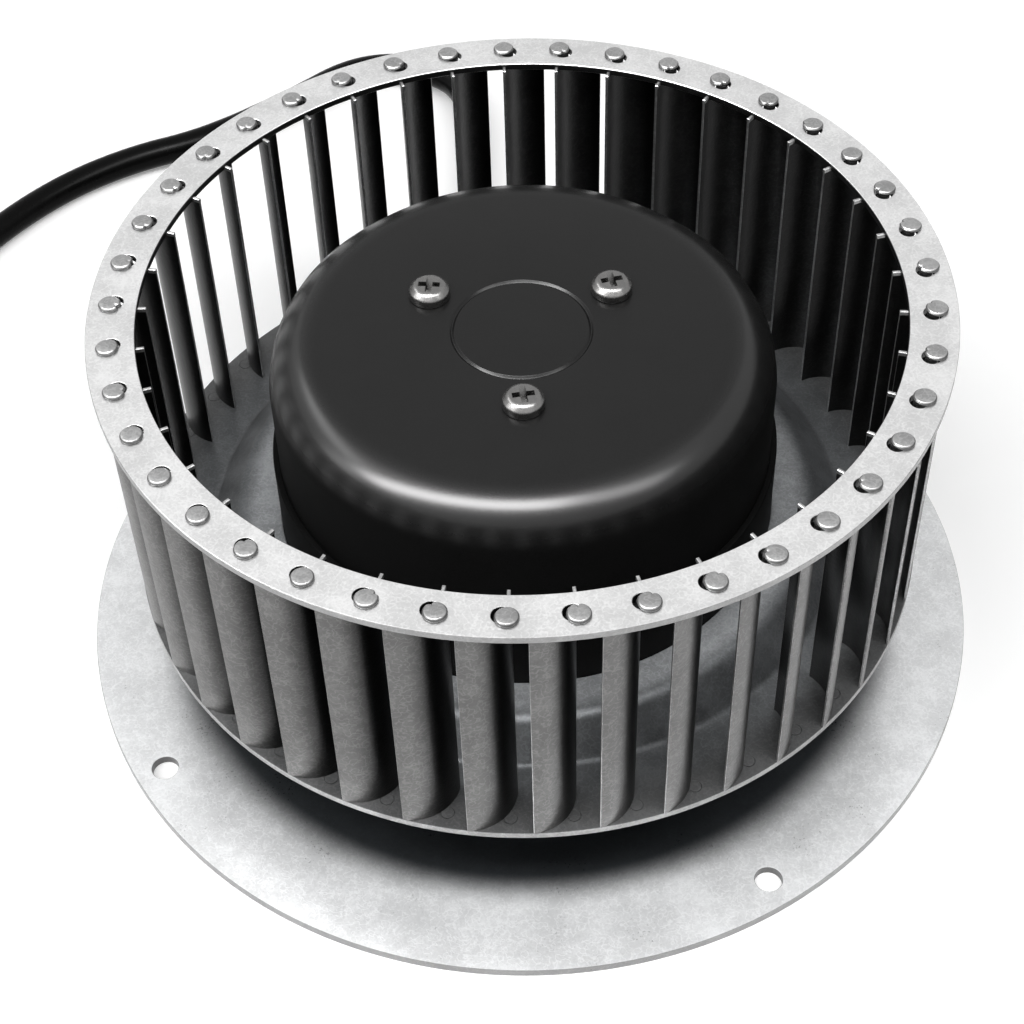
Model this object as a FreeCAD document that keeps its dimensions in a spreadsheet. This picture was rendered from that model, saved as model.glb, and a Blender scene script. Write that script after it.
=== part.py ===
import FreeCAD, Part
import math
import os
import re

import Sketcher
from FreeCAD import Placement, Rotation, Vector

# Centrifugal fan: a forward-curved wheel riveted to the outer rotor of its motor, on a round plate.
# Millimetres. Z is the wheel's axis and points up to the inlet. The origin is the middle of the
# plate's underside, which is the face that the fan rests and mounts on.

SIZES = (
    ("plate_radius", 92, "round mounting plate"),
    ("plate_thickness", 2, "its sheet"),
    ("plate_hole_inset", 6, "its mounting holes inside its edge"),
    ("plate_hole_radius", 2.65, "clearance hole for an M5 screw"),
    ("plate_hole_count", 4, "mounting holes"),
    ("plate_first_hole", 31, "angle of the first one, degrees"),
    ("wheel_radius", 80, "outside of the inlet ring"),
    ("wheel_height", 60, "top of the inlet ring to the underside of the back plate"),
    ("wheel_clearance", 24, "mounting plate to the underside of the back plate"),
    ("ring_width", 9, "face of the inlet ring"),
    ("ring_thickness", 1.5, "its sheet"),
    ("disc_inset", 1.3, "back plate's edge inside the ring's edge"),
    ("disc_thickness", 1.5, "back plate's sheet"),
    ("hub_flat", 8.2, "flat top of the back plate's raised hub, from the sleeve to its edge"),
    ("hub_slope", 6.3, "from that edge to the foot of the hub, seen from above"),
    ("hub_rise", 6.5, "its height above the disc"),
    ("hub_bend", 2, "inside rounding of its bends"),
    ("blade_count", 41, "blades"),
    ("blade_thickness", 0.6, "their sheet"),
    ("blade_nib", 1.6, "how far a blade shows inside the ring's bore"),
    ("blade_nib_height", 0.9, "that corner above the underside of the ring"),
    ("blade_tip_inset", 2, "blade tips inside the ring's edge"),
    ("blade_lead", 0.1, "inner edge of a blade ahead of its tab"),
    ("first_tab_angle", 3.86, "angle of the first tab, degrees"),
    ("tab_outset", 0.5, "circle of the tabs outside the middle of the ring's face"),
    ("tab_pin_radius", 1.2, "tab where it passes through the sheet"),
    ("tab_pin_shift", 1, "tab nearer to the blade than its head"),
    ("tab_hole_radius", 1.75, "hole that the tab passes through"),
    ("tab_hole_shift", 1.15, "hole nearer to the blade than the head"),
    ("tab_head_radius", 2.1, "staked head"),
    ("tab_head_height", 0.9, "staked head"),
    ("tab_head_bevel", 0.35, "its rim"),
    ("inlet_gap", 21.1, "rotor can to the inner edges of the blades"),
    ("can_wall", 1.5, "the can's sheet"),
    ("can_recess", 8, "end of the can below the top of the ring"),
    ("can_shoulder", 10, "rounding of its shoulder"),
    ("groove_radius", 13.1, "round groove on the can's end"),
    ("groove_width", 1, "its width"),
    ("groove_depth", 0.5, "its depth"),
    ("sleeve_wall", 1.2, "flanged sleeve pressed over the can"),
    ("sleeve_reach", 16.5, "sleeve above the top of the hub"),
    ("sleeve_flange_width", 6.45, "its flange, under the hub"),
    ("sleeve_flange_thickness", 1.5, "its flange"),
    ("press_gap", 0.02, "gap drawn between pressed faces"),
    ("hub_rivet_count", 6, "rivets through hub and flange"),
    ("hub_rivet_outset", 3.9, "their circle outside the sleeve"),
    ("hub_rivet_turn", 30, "first rivet round from the first tab, degrees"),
    ("hub_rivet_radius", 1.6, "shank"),
    ("hub_rivet_head_radius", 2.6, "head"),
    ("hub_rivet_head_height", 1.4, "head"),
    ("hub_rivet_rounding", 1.2, "its rim"),
    ("hub_rivet_upset_radius", 2.35, "upset head under the flange"),
    ("hub_rivet_upset_height", 0.7, "upset head"),
    ("screw_count", 3, "screws through the can's end"),
    ("screw_circle", 20, "radius of their circle"),
    ("first_screw_angle", 30, "angle of the first one, degrees"),
    ("screw_radius", 2, "M4"),
    ("screw_head_radius", 4, "pan head"),
    ("screw_head_height", 2.8, "pan head"),
    ("screw_head_rounding", 1.6, "its rim"),
    ("recess_reach", 2.3, "cross recess, middle to end of an arm"),
    ("recess_width", 1, "its arms"),
    ("recess_depth", 1.7, "its depth"),
    ("hole_clearance", 0.1, "hole larger than its screw or rivet, on the radius"),
    ("spider_radius", 27, "steel hub inside the can"),
    ("spider_thickness", 4, "its disc"),
    ("spider_boss_radius", 8, "its boss"),
    ("spider_boss_length", 4, "its boss, down to the upper bearing"),
    ("shaft_radius", 4, "shaft"),
    ("shaft_tail", 2.2, "shaft below the lower bearing"),
    ("rotor_core_depth", 8.7, "rotor laminations, on the radius"),
    ("cage_thickness", 4, "end rings cast on the rotor laminations"),
    ("cage_margin", 1, "end rings narrower than the laminations at each side"),
    ("air_gap", 0.4, "rotor to stator"),
    ("slot_count", 12, "slots of the stator"),
    ("stator_yoke", 9.7, "stator behind its slots"),
    ("slot_width", 7, "slot"),
    ("slot_mouth", 2.4, "opening of a slot to the air gap"),
    ("tooth_tip", 2, "tooth tip beyond the slot"),
    ("insulator_thickness", 1, "end plates of the stator"),
    ("insulator_margin", 0.8, "end plates inside the edge of the stack"),
    ("winding_height", 5.5, "end windings"),
    ("winding_inset", 2.7, "end windings inside the edge of the stack"),
    ("winding_outset", 5, "end windings outside its bore"),
    ("upper_winding_gap", 2, "upper end winding below the spider"),
    ("lower_winding_gap", 2.5, "lower end winding above the motor flange"),
    ("tube_wall", 2, "bearing tube of the flange"),
    ("tube_lip", 1.5, "tube above the upper bearing"),
    ("tube_shoulder", 1.6, "shoulder between the bearings"),
    ("bearing_radius", 11, "ball bearing 22 mm outside"),
    ("bearing_width", 7, "its width"),
    ("bearing_ring_wall", 1.8, "its rings"),
    ("lower_bearing_height", 8.2, "underside of the lower bearing"),
    ("ball_radius", 2, "ball"),
    ("ball_count", 7, "balls in a bearing"),
    ("race_clearance", 0.06, "ball to race"),
    ("pocket_web", 0.65, "cage of the balls beyond its pockets"),
    ("ball_cage_wall", 1.36, "its sheet"),
    ("washer_height", 0.8, "preload washer over the lower bearing"),
    ("washer_margin", 0.15, "preload washer inside the seat"),
    ("washer_width", 1.5, "preload washer"),
    ("clip_thickness", 1, "retaining ring on the shaft"),
    ("clip_width", 2.1, "retaining ring"),
    ("clip_groove_depth", 0.4, "its groove in the shaft"),
    ("flange_wall_radius", 40, "drum of the motor flange"),
    ("flange_wall", 3, "its wall"),
    ("flange_rim", 4, "its foot and its top beyond the drum"),
    ("flange_foot", 4, "thickness of its foot"),
    ("flange_top", 3, "thickness of its top"),
    ("flange_gap", 4, "its top below the rim of the rotor can"),
    ("flange_hub_wall", 4, "hub round the lower bearing"),
    ("boss_inset", 5, "its screw bosses inside the wall"),
    ("boss_radius", 5.5, "screw boss"),
    ("boss_count", 4, "screw bosses"),
    ("boss_angle", 45, "angle of the first one, degrees"),
    ("foot_screw_radius", 2, "M4 countersunk"),
    ("foot_screw_head", 4, "radius of its head"),
    ("foot_screw_length", 12, "its length"),
    ("gland_angle", 98, "angle of the cable outlet, degrees"),
    ("gland_height", 13, "its height above the origin"),
    ("gland_neck_radius", 4.6, "grommet where it passes the wall"),
    ("gland_lip_radius", 6.2, "grommet each side of the wall"),
    ("gland_lip", 1.5, "thickness of its lips"),
    ("gland_reach", 17, "tapered sleeve of the grommet outside the wall"),
    ("cable_radius", 3.5, "cable jacket"),
    ("cable_straight", 28, "its first run, straight out of the grommet"),
    ("sheath_wall", 0.9, "grommet's tapered sleeve over the cable at its thin end"),
    ("core_wire_count", 3, "insulated wires of the cable"),
    ("core_wire_radius", 0.9, "insulated wire"),
    ("core_wire_length", 32, "wires bared at the far end"),
    ("core_wire_circle", 1.15, "middle of the cable to the middle of a wire"),
    ("core_wire_angle", 50, "angle of the first one round the cable, degrees"),
    ("core_wire_bend", 12.8, "where a wire bends outward"),
    ("core_wire_spread", 6, "how far apart their ends lie"),
    ("ferrule_radius", 0.75, "wire end ferrules"),
    ("ferrule_length", 8, "wire end ferrules"),
)

doc = FreeCAD.newDocument("centrifugal_fan")
sheet = doc.addObject("Spreadsheet::Sheet", "sizes")
for row, (alias, number, meaning) in enumerate(SIZES, start=1):
    sheet.set(f"A{row}", alias)
    sheet.set(f"B{row}", str(number))
    sheet.set(f"C{row}", meaning)
    sheet.setAlias(f"B{row}", alias)
doc.recompute()
NAMES = {alias for alias, _, _ in SIZES}

# Heights and radii that follow from the driving ones, as expressions. The wheel comes first, then
# the rotor inside it, and then the motor from the rotor's end down to the plate.
HOLE_CIRCLE = "(plate_radius - plate_hole_inset)"
WHEEL_FLOOR = "(plate_thickness + wheel_clearance)"
RING_TOP = f"({WHEEL_FLOOR} + wheel_height)"
RING_UNDERSIDE = f"({RING_TOP} - ring_thickness)"
RING_BORE = "(wheel_radius - ring_width)"
DISC_TOP = f"({WHEEL_FLOOR} + disc_thickness)"
DISC_RADIUS = "(wheel_radius - disc_inset)"
HUB_TOP = f"({DISC_TOP} + hub_rise)"
HUB_UNDERSIDE = f"({HUB_TOP} - disc_thickness)"
HEEL_RADIUS = f"({RING_BORE} - blade_nib)"
BLADE_CURVE = "(ring_width + blade_nib - blade_tip_inset)"
TAB_CIRCLE = "(wheel_radius - ring_width / 2 + tab_outset)"
CAN_RADIUS = f"({HEEL_RADIUS} - inlet_gap)"
CAN_BORE = f"({CAN_RADIUS} - can_wall)"
CAN_TOP = f"({RING_TOP} - can_recess)"
CAN_CEILING = f"({CAN_TOP} - can_wall)"
CAN_RIM = f"({HUB_UNDERSIDE} - sleeve_flange_thickness)"
SLEEVE_BORE = f"({CAN_RADIUS} + press_gap)"
SLEEVE_RADIUS = f"({SLEEVE_BORE} + sleeve_wall)"
SLEEVE_FLANGE = f"({SLEEVE_RADIUS} + sleeve_flange_width)"
SLEEVE_TOP = f"({HUB_TOP} + sleeve_reach)"
HUB_BORE = f"({SLEEVE_RADIUS} + press_gap)"
HUB_EDGE = f"({SLEEVE_RADIUS} + hub_flat)"
HUB_BEND = f"({HUB_EDGE} + hub_slope)"
RIVET_CIRCLE = f"({SLEEVE_RADIUS} + hub_rivet_outset)"
SPIDER_UNDERSIDE = f"({CAN_CEILING} - spider_thickness)"
UPPER_BEARING_TOP = f"({SPIDER_UNDERSIDE} - spider_boss_length)"
UPPER_BEARING_SEAT = f"({UPPER_BEARING_TOP} - bearing_width)"
LOWER_BEARING_TOP = "(lower_bearing_height + bearing_width)"
INNER_RACE = "(shaft_radius + bearing_ring_wall)"
OUTER_RACE = "(bearing_radius - bearing_ring_wall)"
BALL_CIRCLE = "((shaft_radius + bearing_radius) / 2)"
FLANGE_TOP = f"({CAN_RIM} - flange_gap)"
FLANGE_CEILING = f"({FLANGE_TOP} - flange_top)"
FLANGE_RADIUS = "(flange_wall_radius + flange_rim)"
FLANGE_HUB = "(bearing_radius + flange_hub_wall)"
WALL_BORE = "(flange_wall_radius - flange_wall)"
BOSS_CIRCLE = f"({WALL_BORE} - boss_inset)"
TUBE_RADIUS = "(bearing_radius + tube_wall)"
TUBE_BORE = "(bearing_radius - tube_shoulder)"
TUBE_TOP = f"({UPPER_BEARING_TOP} + tube_lip)"
CORE_OUTER = f"({CAN_BORE} - press_gap)"
CORE_BORE = f"({CORE_OUTER} - rotor_core_depth)"
CORE_TOP = f"({SPIDER_UNDERSIDE} - upper_winding_gap - winding_height - insulator_thickness)"
CORE_FLOOR = f"({FLANGE_TOP} + lower_winding_gap + winding_height + insulator_thickness)"
STATOR_RADIUS = f"({CORE_BORE} - air_gap)"
STATOR_BORE = f"({TUBE_RADIUS} + press_gap)"


def cells(text):
    """The expression with each size's name pointed at its cell."""
    return re.sub(r"[a-z_]+", lambda word: "sizes." + word[0] if word[0] in NAMES else word[0], text)


def value(text):
    """The number that an expression of sizes gives now."""
    return float(sheet.evalExpression(cells(str(text))))


def bind(thing, prop, text):
    thing.setExpression(prop, cells(str(text)))


def add_body(name):
    body = doc.addObject("PartDesign::Body", name)
    body.Label = name
    return body


def add_sketch(body, plane, height=None):
    """A sketch on one of the body's own origin planes, raised by an expression."""
    sketch = body.newObject("Sketcher::SketchObject", body.Name + "_sketch")
    planes = {feature.Role: feature for feature in body.Origin.OriginFeatures}
    sketch.AttachmentSupport = (planes[plane], [""])
    sketch.MapMode = "FlatFace"
    if height is not None:
        bind(sketch, "AttachmentOffset.Base.z", height)
    return sketch


def place(sketch, geometry, point, along, text):
    """Ties one coordinate of a point of the sketch to an expression."""
    number = value(text)
    kind, axis = {"x": ("DistanceX", -2), "y": ("DistanceY", -1)}[along]
    if abs(number) < 1e-9:
        sketch.addConstraint(Sketcher.Constraint("PointOnObject", geometry, point, axis))
        return
    index = sketch.addConstraint(Sketcher.Constraint(kind, -1, 1, geometry, point, number))
    bind(sketch, f"Constraints[{index}]", text)


def add_outline(sketch, corners):
    """A closed outline of straight sides through corners given as pairs of expressions."""
    spots = [Vector(value(x), value(y), 0) for x, y in corners]
    first = sketch.GeometryCount
    for start, end in zip(spots, spots[1:] + spots[:1]):
        sketch.addGeometry(Part.LineSegment(start, end))
    for step, (x, y) in enumerate(corners):
        side = first + step
        before = first + (step - 1) % len(corners)
        sketch.addConstraint(Sketcher.Constraint("Coincident", before, 2, side, 1))
        place(sketch, side, 1, "x", x)
        place(sketch, side, 1, "y", y)


def add_circle(sketch, x, y, radius):
    spot = Vector(value(x), value(y), 0)
    circle = sketch.addGeometry(Part.Circle(spot, Vector(0, 0, 1), value(radius)))
    place(sketch, circle, 3, "x", x)
    place(sketch, circle, 3, "y", y)
    index = sketch.addConstraint(Sketcher.Constraint("Radius", circle, value(radius)))
    bind(sketch, f"Constraints[{index}]", radius)


def add_axis(sketch, x):
    """A construction line parallel to Z, for turning a pin that stands off the middle."""
    line = sketch.addGeometry(Part.LineSegment(Vector(value(x), 0, 0), Vector(value(x), 10, 0)), True)
    for end in (1, 2):
        place(sketch, line, end, "x", x)
    place(sketch, line, 1, "y", "0")
    index = sketch.addConstraint(Sketcher.Constraint("DistanceY", line, 1, line, 2, 10))
    sketch.renameConstraint(index, "axis_length")


def polar(radius, angle):
    """The x and y of a point at a radius and an angle in degrees."""
    return f"{radius} * cos({angle})", f"{radius} * sin({angle})"


def turn(body, corners, kind="PartDesign::Revolution", axis=None):
    """Turns a profile of (radius, height) corners about Z, or about an axis off the middle."""
    sketch = add_sketch(body, "XZ_Plane")
    add_outline(sketch, corners)
    if axis is not None:
        add_axis(sketch, axis)
    feature = body.newObject(kind, body.Name + "_turn")
    feature.Profile = sketch
    feature.ReferenceAxis = (sketch, ["V_Axis" if axis is None else "Axis0"])
    feature.Angle = 360
    return feature


def pad(body, sketch, length):
    feature = body.newObject("PartDesign::Pad", body.Name + "_pad")
    feature.Profile = sketch
    bind(feature, "Length", length)
    return feature


def cut(body, sketch, length, up=False):
    """Cuts a sketch down into the body, or up where the sketch lies on its underside."""
    doc.recompute()
    before = body.Shape.Volume
    feature = body.newObject("PartDesign::Pocket", body.Name + "_cut")
    feature.Profile = sketch
    feature.Reversed = up
    bind(feature, "Length", length)
    doc.recompute()
    if feature.Shape.Volume > before - 1e-6:
        raise RuntimeError(f"{feature.Name} cuts nothing")
    return feature


def repeat(body, features, count):
    """Repeats features round Z."""
    doc.recompute()
    axes = {feature.Role: feature for feature in body.Origin.OriginFeatures}
    pattern = body.newObject("PartDesign::PolarPattern", body.Name + "_pattern")
    pattern.Originals = features
    pattern.Axis = (axes["Z_Axis"], [""])
    pattern.Angle = 360
    bind(pattern, "Occurrences", count)
    body.Tip = pattern
    doc.recompute()
    return pattern


def round_edges(body, picks, radius, kind="PartDesign::Fillet"):
    """Rounds or bevels the circular edges about Z with the given (radius, height) pairs."""
    doc.recompute()
    base = body.Tip
    wanted = [(value(r), value(z)) for r, z in picks]
    names = []
    for number, edge in enumerate(base.Shape.Edges, start=1):
        curve = edge.Curve
        if not isinstance(curve, Part.Circle):
            continue
        for r, z in wanted:
            if abs(curve.Radius - r) < 1e-4 and abs(curve.Center.z - z) < 1e-4:
                names.append(f"Edge{number}")
                break
    feature = body.newObject(kind, body.Name + "_edges")
    feature.Base = (base, names)
    bind(feature, "Radius" if kind == "PartDesign::Fillet" else "Size", radius)
    doc.recompute()
    return feature


def add_ring(name, inner, outer, bottom, top):
    """A plain turned ring."""
    body = add_body(name)
    turn(body, [(inner, bottom), (outer, bottom), (outer, top), (inner, top)])
    return body


def turned_pins(name, circle, profile, count):
    """Identical pins round Z, each turned about its own axis at the given radius."""
    body = add_body(name)
    corners = [(f"{circle} + {r}", z) for r, z in profile]
    shape = turn(body, corners, axis=circle)
    repeat(body, [shape], count)
    return body


def turn_about_z(body, angle):
    body.Placement = Placement(Vector(), Rotation(Vector(0, 0, 1), value(angle)))
    bind(body, "Placement.Rotation.Angle", angle)


def make_mounting_plate():
    """Galvanised disc with mounting holes near its edge and countersunk holes for the motor."""
    body = add_body("mounting_plate")
    top = "plate_thickness"
    turn(body, [("0", "0"), ("plate_radius", "0"), ("plate_radius", top), ("0", top)])
    holes = add_sketch(body, "XY_Plane", "plate_thickness")
    angle = "(plate_first_hole - boss_angle)"
    add_circle(holes, *polar(HOLE_CIRCLE, angle), "plate_hole_radius")
    repeat(body, [cut(body, holes, "plate_thickness")], "plate_hole_count")
    sink = add_sketch(body, "XZ_Plane")
    shank = "foot_screw_radius + hole_clearance"
    head = "foot_screw_head + hole_clearance"
    middle = BOSS_CIRCLE
    slope = [(f"{middle} + {head}", "0"), (f"{middle} + {shank}", top)]
    add_outline(sink, [(middle, "0"), *slope, (middle, top)])
    add_axis(sink, middle)
    countersink = body.newObject("PartDesign::Groove", "mounting_plate_countersink")
    countersink.Profile = sink
    countersink.ReferenceAxis = (sink, ["Axis0"])
    repeat(body, [countersink], "boss_count")
    turn_about_z(body, "boss_angle")
    return body


def make_foot_screws():
    """Countersunk screws, flush with the plate's underside, that hold the motor flange down."""
    body = turned_pins("foot_screws", BOSS_CIRCLE, [
        ("0", "0"),
        ("foot_screw_head", "0"),
        ("foot_screw_radius", "plate_thickness"),
        ("foot_screw_radius", "foot_screw_length"),
        ("0", "foot_screw_length"),
    ], "boss_count")
    turn_about_z(body, "boss_angle")
    return body


def make_motor_flange():
    """Cast foot of the motor: a hollow drum with screw bosses, and the bearing tube on top."""
    body = add_body("motor_flange")
    shoulder = f"{LOWER_BEARING_TOP} + washer_height"
    turn(body, [
        ("bearing_radius", "plate_thickness"),
        (FLANGE_HUB, "plate_thickness"),
        (FLANGE_HUB, FLANGE_CEILING),
        (WALL_BORE, FLANGE_CEILING),
        (WALL_BORE, "plate_thickness"),
        (FLANGE_RADIUS, "plate_thickness"),
        (FLANGE_RADIUS, "plate_thickness + flange_foot"),
        ("flange_wall_radius", "plate_thickness + flange_foot"),
        ("flange_wall_radius", FLANGE_CEILING),
        (FLANGE_RADIUS, FLANGE_CEILING),
        (FLANGE_RADIUS, FLANGE_TOP),
        (TUBE_RADIUS, FLANGE_TOP),
        (TUBE_RADIUS, TUBE_TOP),
        ("bearing_radius", TUBE_TOP),
        ("bearing_radius", UPPER_BEARING_SEAT),
        (TUBE_BORE, UPPER_BEARING_SEAT),
        (TUBE_BORE, shoulder),
        ("bearing_radius", shoulder),
    ])
    x, y = polar(BOSS_CIRCLE, "(boss_angle - gland_angle + 90)")
    boss = add_sketch(body, "XY_Plane", "plate_thickness")
    add_circle(boss, x, y, "boss_radius")
    repeat(body, [pad(body, boss, f"{FLANGE_CEILING} - plate_thickness")], "boss_count")
    screw = add_sketch(body, "XY_Plane", "plate_thickness")
    add_circle(screw, x, y, "foot_screw_radius + press_gap")
    deep = "foot_screw_length - plate_thickness + 2 * hole_clearance"
    repeat(body, [cut(body, screw, deep, up=True)], "boss_count")
    between = f"(({FLANGE_HUB} + {WALL_BORE}) / 2)"
    outlet = add_sketch(body, "XZ_Plane", f"-{between}")
    add_circle(outlet, "0", "gland_height", "gland_neck_radius + press_gap")
    cut(body, outlet, f"{FLANGE_RADIUS} - {between}")
    turn_about_z(body, "gland_angle - 90")
    return body


def make_grommet():
    """Rubber grommet in the flange's wall, with a tapered sleeve along the cable."""
    body = add_body("grommet")
    sketch = add_sketch(body, "XZ_Plane")
    inner = f"(sqrt({WALL_BORE}^2 - gland_lip_radius^2))"
    outer = "flange_wall_radius"
    thin = "cable_radius + sheath_wall"
    add_outline(sketch, [
        (f"{inner} - gland_lip - press_gap", "0"),
        (f"{inner} - gland_lip - press_gap", "gland_lip_radius"),
        (f"{inner} - press_gap", "gland_lip_radius"),
        (f"{inner} - press_gap", "gland_neck_radius"),
        (f"{outer} + press_gap", "gland_neck_radius"),
        (f"{outer} + press_gap", "gland_lip_radius"),
        (f"{outer} + gland_lip", "gland_lip_radius"),
        (f"{outer} + gland_lip", "gland_neck_radius"),
        (f"{outer} + gland_reach", thin),
        (f"{outer} + gland_reach", "0"),
    ])
    feature = body.newObject("PartDesign::Revolution", "grommet_turn")
    feature.Profile = sketch
    feature.ReferenceAxis = (sketch, ["H_Axis"])
    feature.Angle = 360
    turn_about_z(body, "gland_angle")
    bind(body, "Placement.Base.z", "gland_height")
    return body


def make_bearing(place_name, bottom):
    """A deep-groove ball bearing as its four pieces: two rings with races, the balls and their cage."""
    top = f"{bottom} + bearing_width"
    middle = f"({bottom} + bearing_width / 2)"
    race = "ball_radius + race_clearance"
    outer = add_ring(f"{place_name}_bearing_outer_ring", OUTER_RACE, "bearing_radius", bottom, top)
    inner = add_ring(f"{place_name}_bearing_inner_ring", "shaft_radius", INNER_RACE, bottom, top)
    for ring in (outer, inner):
        sketch = add_sketch(ring, "XZ_Plane")
        add_circle(sketch, BALL_CIRCLE, middle, race)
        groove = ring.newObject("PartDesign::Groove", ring.Name + "_race")
        groove.Profile = sketch
        groove.ReferenceAxis = (sketch, ["V_Axis"])
        groove.Angle = 360
    balls = add_body(f"{place_name}_bearing_balls")
    half = add_sketch(balls, "XZ_Plane")
    x, z, r = value(BALL_CIRCLE), value(middle), value("ball_radius")
    circle = Part.Circle(Vector(x, z, 0), Vector(0, 0, 1), r)
    arc = half.addGeometry(Part.ArcOfCircle(circle, -math.pi / 2, math.pi / 2))
    chord = half.addGeometry(Part.LineSegment(Vector(x, z + r, 0), Vector(x, z - r, 0)))
    half.addConstraint(Sketcher.Constraint("Coincident", arc, 2, chord, 1))
    half.addConstraint(Sketcher.Constraint("Coincident", chord, 2, arc, 1))
    place(half, arc, 3, "x", BALL_CIRCLE)
    place(half, arc, 3, "y", middle)
    place(half, chord, 1, "x", BALL_CIRCLE)
    place(half, chord, 1, "y", f"{middle} + ball_radius")
    place(half, chord, 2, "x", BALL_CIRCLE)
    add_axis(half, BALL_CIRCLE)
    ball = balls.newObject("PartDesign::Revolution", balls.Name + "_turn")
    ball.Profile = half
    ball.ReferenceAxis = (half, ["Axis0"])
    ball.Angle = 360
    repeat(balls, [ball], "ball_count")
    half_height = f"({race} + pocket_web)"
    cage = add_ring(
        f"{place_name}_bearing_cage",
        f"({BALL_CIRCLE} - ball_cage_wall / 2)",
        f"({BALL_CIRCLE} + ball_cage_wall / 2)",
        f"{middle} - {half_height}",
        f"{middle} + {half_height}",
    )
    pocket = add_sketch(cage, "YZ_Plane")
    add_circle(pocket, "0", middle, race)
    repeat(cage, [cut(cage, pocket, OUTER_RACE, up=True)], "ball_count")
    return [outer, inner, balls, cage]


def make_preload_washer():
    """Spring washer between the shoulder of the tube and the lower bearing's outer ring."""
    outer = "(bearing_radius - washer_margin)"
    top = f"{LOWER_BEARING_TOP} + washer_height"
    return add_ring("preload_washer", f"{outer} - washer_width", outer, LOWER_BEARING_TOP, top)


def make_shaft():
    """Ground shaft, bevelled at both ends, with a groove for the retaining ring."""
    body = add_body("shaft")
    bottom = "lower_bearing_height - shaft_tail"
    groove_bottom = "lower_bearing_height - clip_thickness"
    groove = "shaft_radius - clip_groove_depth"
    bevel = "clip_groove_depth"
    top = CAN_CEILING
    turn(body, [
        ("0", bottom),
        (f"shaft_radius - {bevel}", bottom),
        ("shaft_radius", f"{bottom} + {bevel}"),
        ("shaft_radius", groove_bottom),
        (groove, groove_bottom),
        (groove, "lower_bearing_height"),
        ("shaft_radius", "lower_bearing_height"),
        ("shaft_radius", f"{top} - {bevel}"),
        (f"shaft_radius - {bevel}", top),
        ("0", top),
    ])
    return body


def make_retaining_ring():
    """Open spring ring in the shaft's groove, under the lower bearing."""
    bore = "(shaft_radius - clip_groove_depth + press_gap)"
    underside = "lower_bearing_height - clip_thickness"
    body = add_ring("retaining_ring", bore, f"{bore} + clip_width", underside, "lower_bearing_height")
    gap = add_sketch(body, "XY_Plane", "lower_bearing_height")
    half = "clip_width / 2"
    beyond = "bearing_radius"
    add_outline(gap, [("0", f"-{half}"), (beyond, f"-{half}"), (beyond, half), ("0", half)])
    cut(body, gap, "clip_thickness")
    return body


def make_stator_core():
    """Laminated stator: a ring of slots that open to the air gap."""
    body = add_ring("stator_core", STATOR_BORE, STATOR_RADIUS, CORE_FLOOR, CORE_TOP)
    slot = add_sketch(body, "XY_Plane", CORE_TOP)
    back = f"({STATOR_RADIUS} - tooth_tip)"
    root = f"({STATOR_BORE} + stator_yoke)"
    half, mouth = "slot_width / 2", "slot_mouth / 2"
    beyond = f"({STATOR_RADIUS} + air_gap)"
    add_outline(slot, [
        (root, f"-{half} / 2"),
        (back, f"-{half}"),
        (back, f"-{mouth}"),
        (beyond, f"-{mouth}"),
        (beyond, mouth),
        (back, mouth),
        (back, half),
        (root, f"{half} / 2"),
    ])
    repeat(body, [cut(body, slot, f"{CORE_TOP} - {CORE_FLOOR}")], "slot_count")
    return body


def make_windings():
    """End plates of the stator and the varnished end windings over them."""
    made = []
    edge = f"{STATOR_RADIUS} - insulator_margin"
    inner, outer = f"({STATOR_BORE} + winding_outset)", f"({STATOR_RADIUS} - winding_inset)"
    for name, face, sign in (("upper", CORE_TOP, "+"), ("lower", CORE_FLOOR, "-")):
        near = f"({face} {sign} insulator_thickness)"
        far = f"({near} {sign} winding_height)"
        low, high = (face, near) if sign == "+" else (near, face)
        made.append(add_ring(f"{name}_insulator", STATOR_BORE, edge, low, high))
        low, high = (near, far) if sign == "+" else (far, near)
        winding = add_ring(f"{name}_winding", inner, outer, low, high)
        round_edges(winding, [(inner, far), (outer, far)], "winding_height / 2")
        made.append(winding)
    return made


def make_rotor_core():
    """Laminations pressed into the can, with the end rings cast onto them."""
    core = add_ring("rotor_core", CORE_BORE, CORE_OUTER, CORE_FLOOR, CORE_TOP)
    cage = add_body("rotor_cage")
    inner = f"({CORE_BORE} + cage_margin)"
    outer = f"({CORE_OUTER} - cage_margin)"
    for bottom in (f"{CORE_FLOOR} - cage_thickness", CORE_TOP):
        top = f"{bottom} + cage_thickness"
        turn(cage, [(inner, bottom), (outer, bottom), (outer, top), (inner, top)])
    return [core, cage]


def make_rotor_can():
    """Deep-drawn cup with a rounded shoulder, a pressed groove on its end and three screw holes."""
    body = add_body("rotor_can")
    turn(body, [
        ("0", CAN_CEILING),
        (CAN_BORE, CAN_CEILING),
        (CAN_BORE, CAN_RIM),
        (CAN_RADIUS, CAN_RIM),
        (CAN_RADIUS, CAN_TOP),
        ("0", CAN_TOP),
    ])
    round_edges(body, [(CAN_RADIUS, CAN_TOP)], "can_shoulder")
    round_edges(body, [(CAN_BORE, CAN_CEILING)], "can_shoulder - can_wall")
    ring = add_sketch(body, "XZ_Plane")
    near, far = "groove_radius - groove_width / 2", "groove_radius + groove_width / 2"
    deep = f"{CAN_TOP} - groove_depth"
    add_outline(ring, [("groove_radius", deep), (far, CAN_TOP), (near, CAN_TOP)])
    groove = body.newObject("PartDesign::Groove", "rotor_can_groove")
    groove.Profile = ring
    groove.ReferenceAxis = (ring, ["V_Axis"])
    groove.Angle = 360
    holes = add_sketch(body, "XY_Plane", CAN_TOP)
    add_circle(holes, *polar("screw_circle", "first_screw_angle"), "screw_radius + hole_clearance")
    repeat(body, [cut(body, holes, "can_wall")], "screw_count")
    return body


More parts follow.
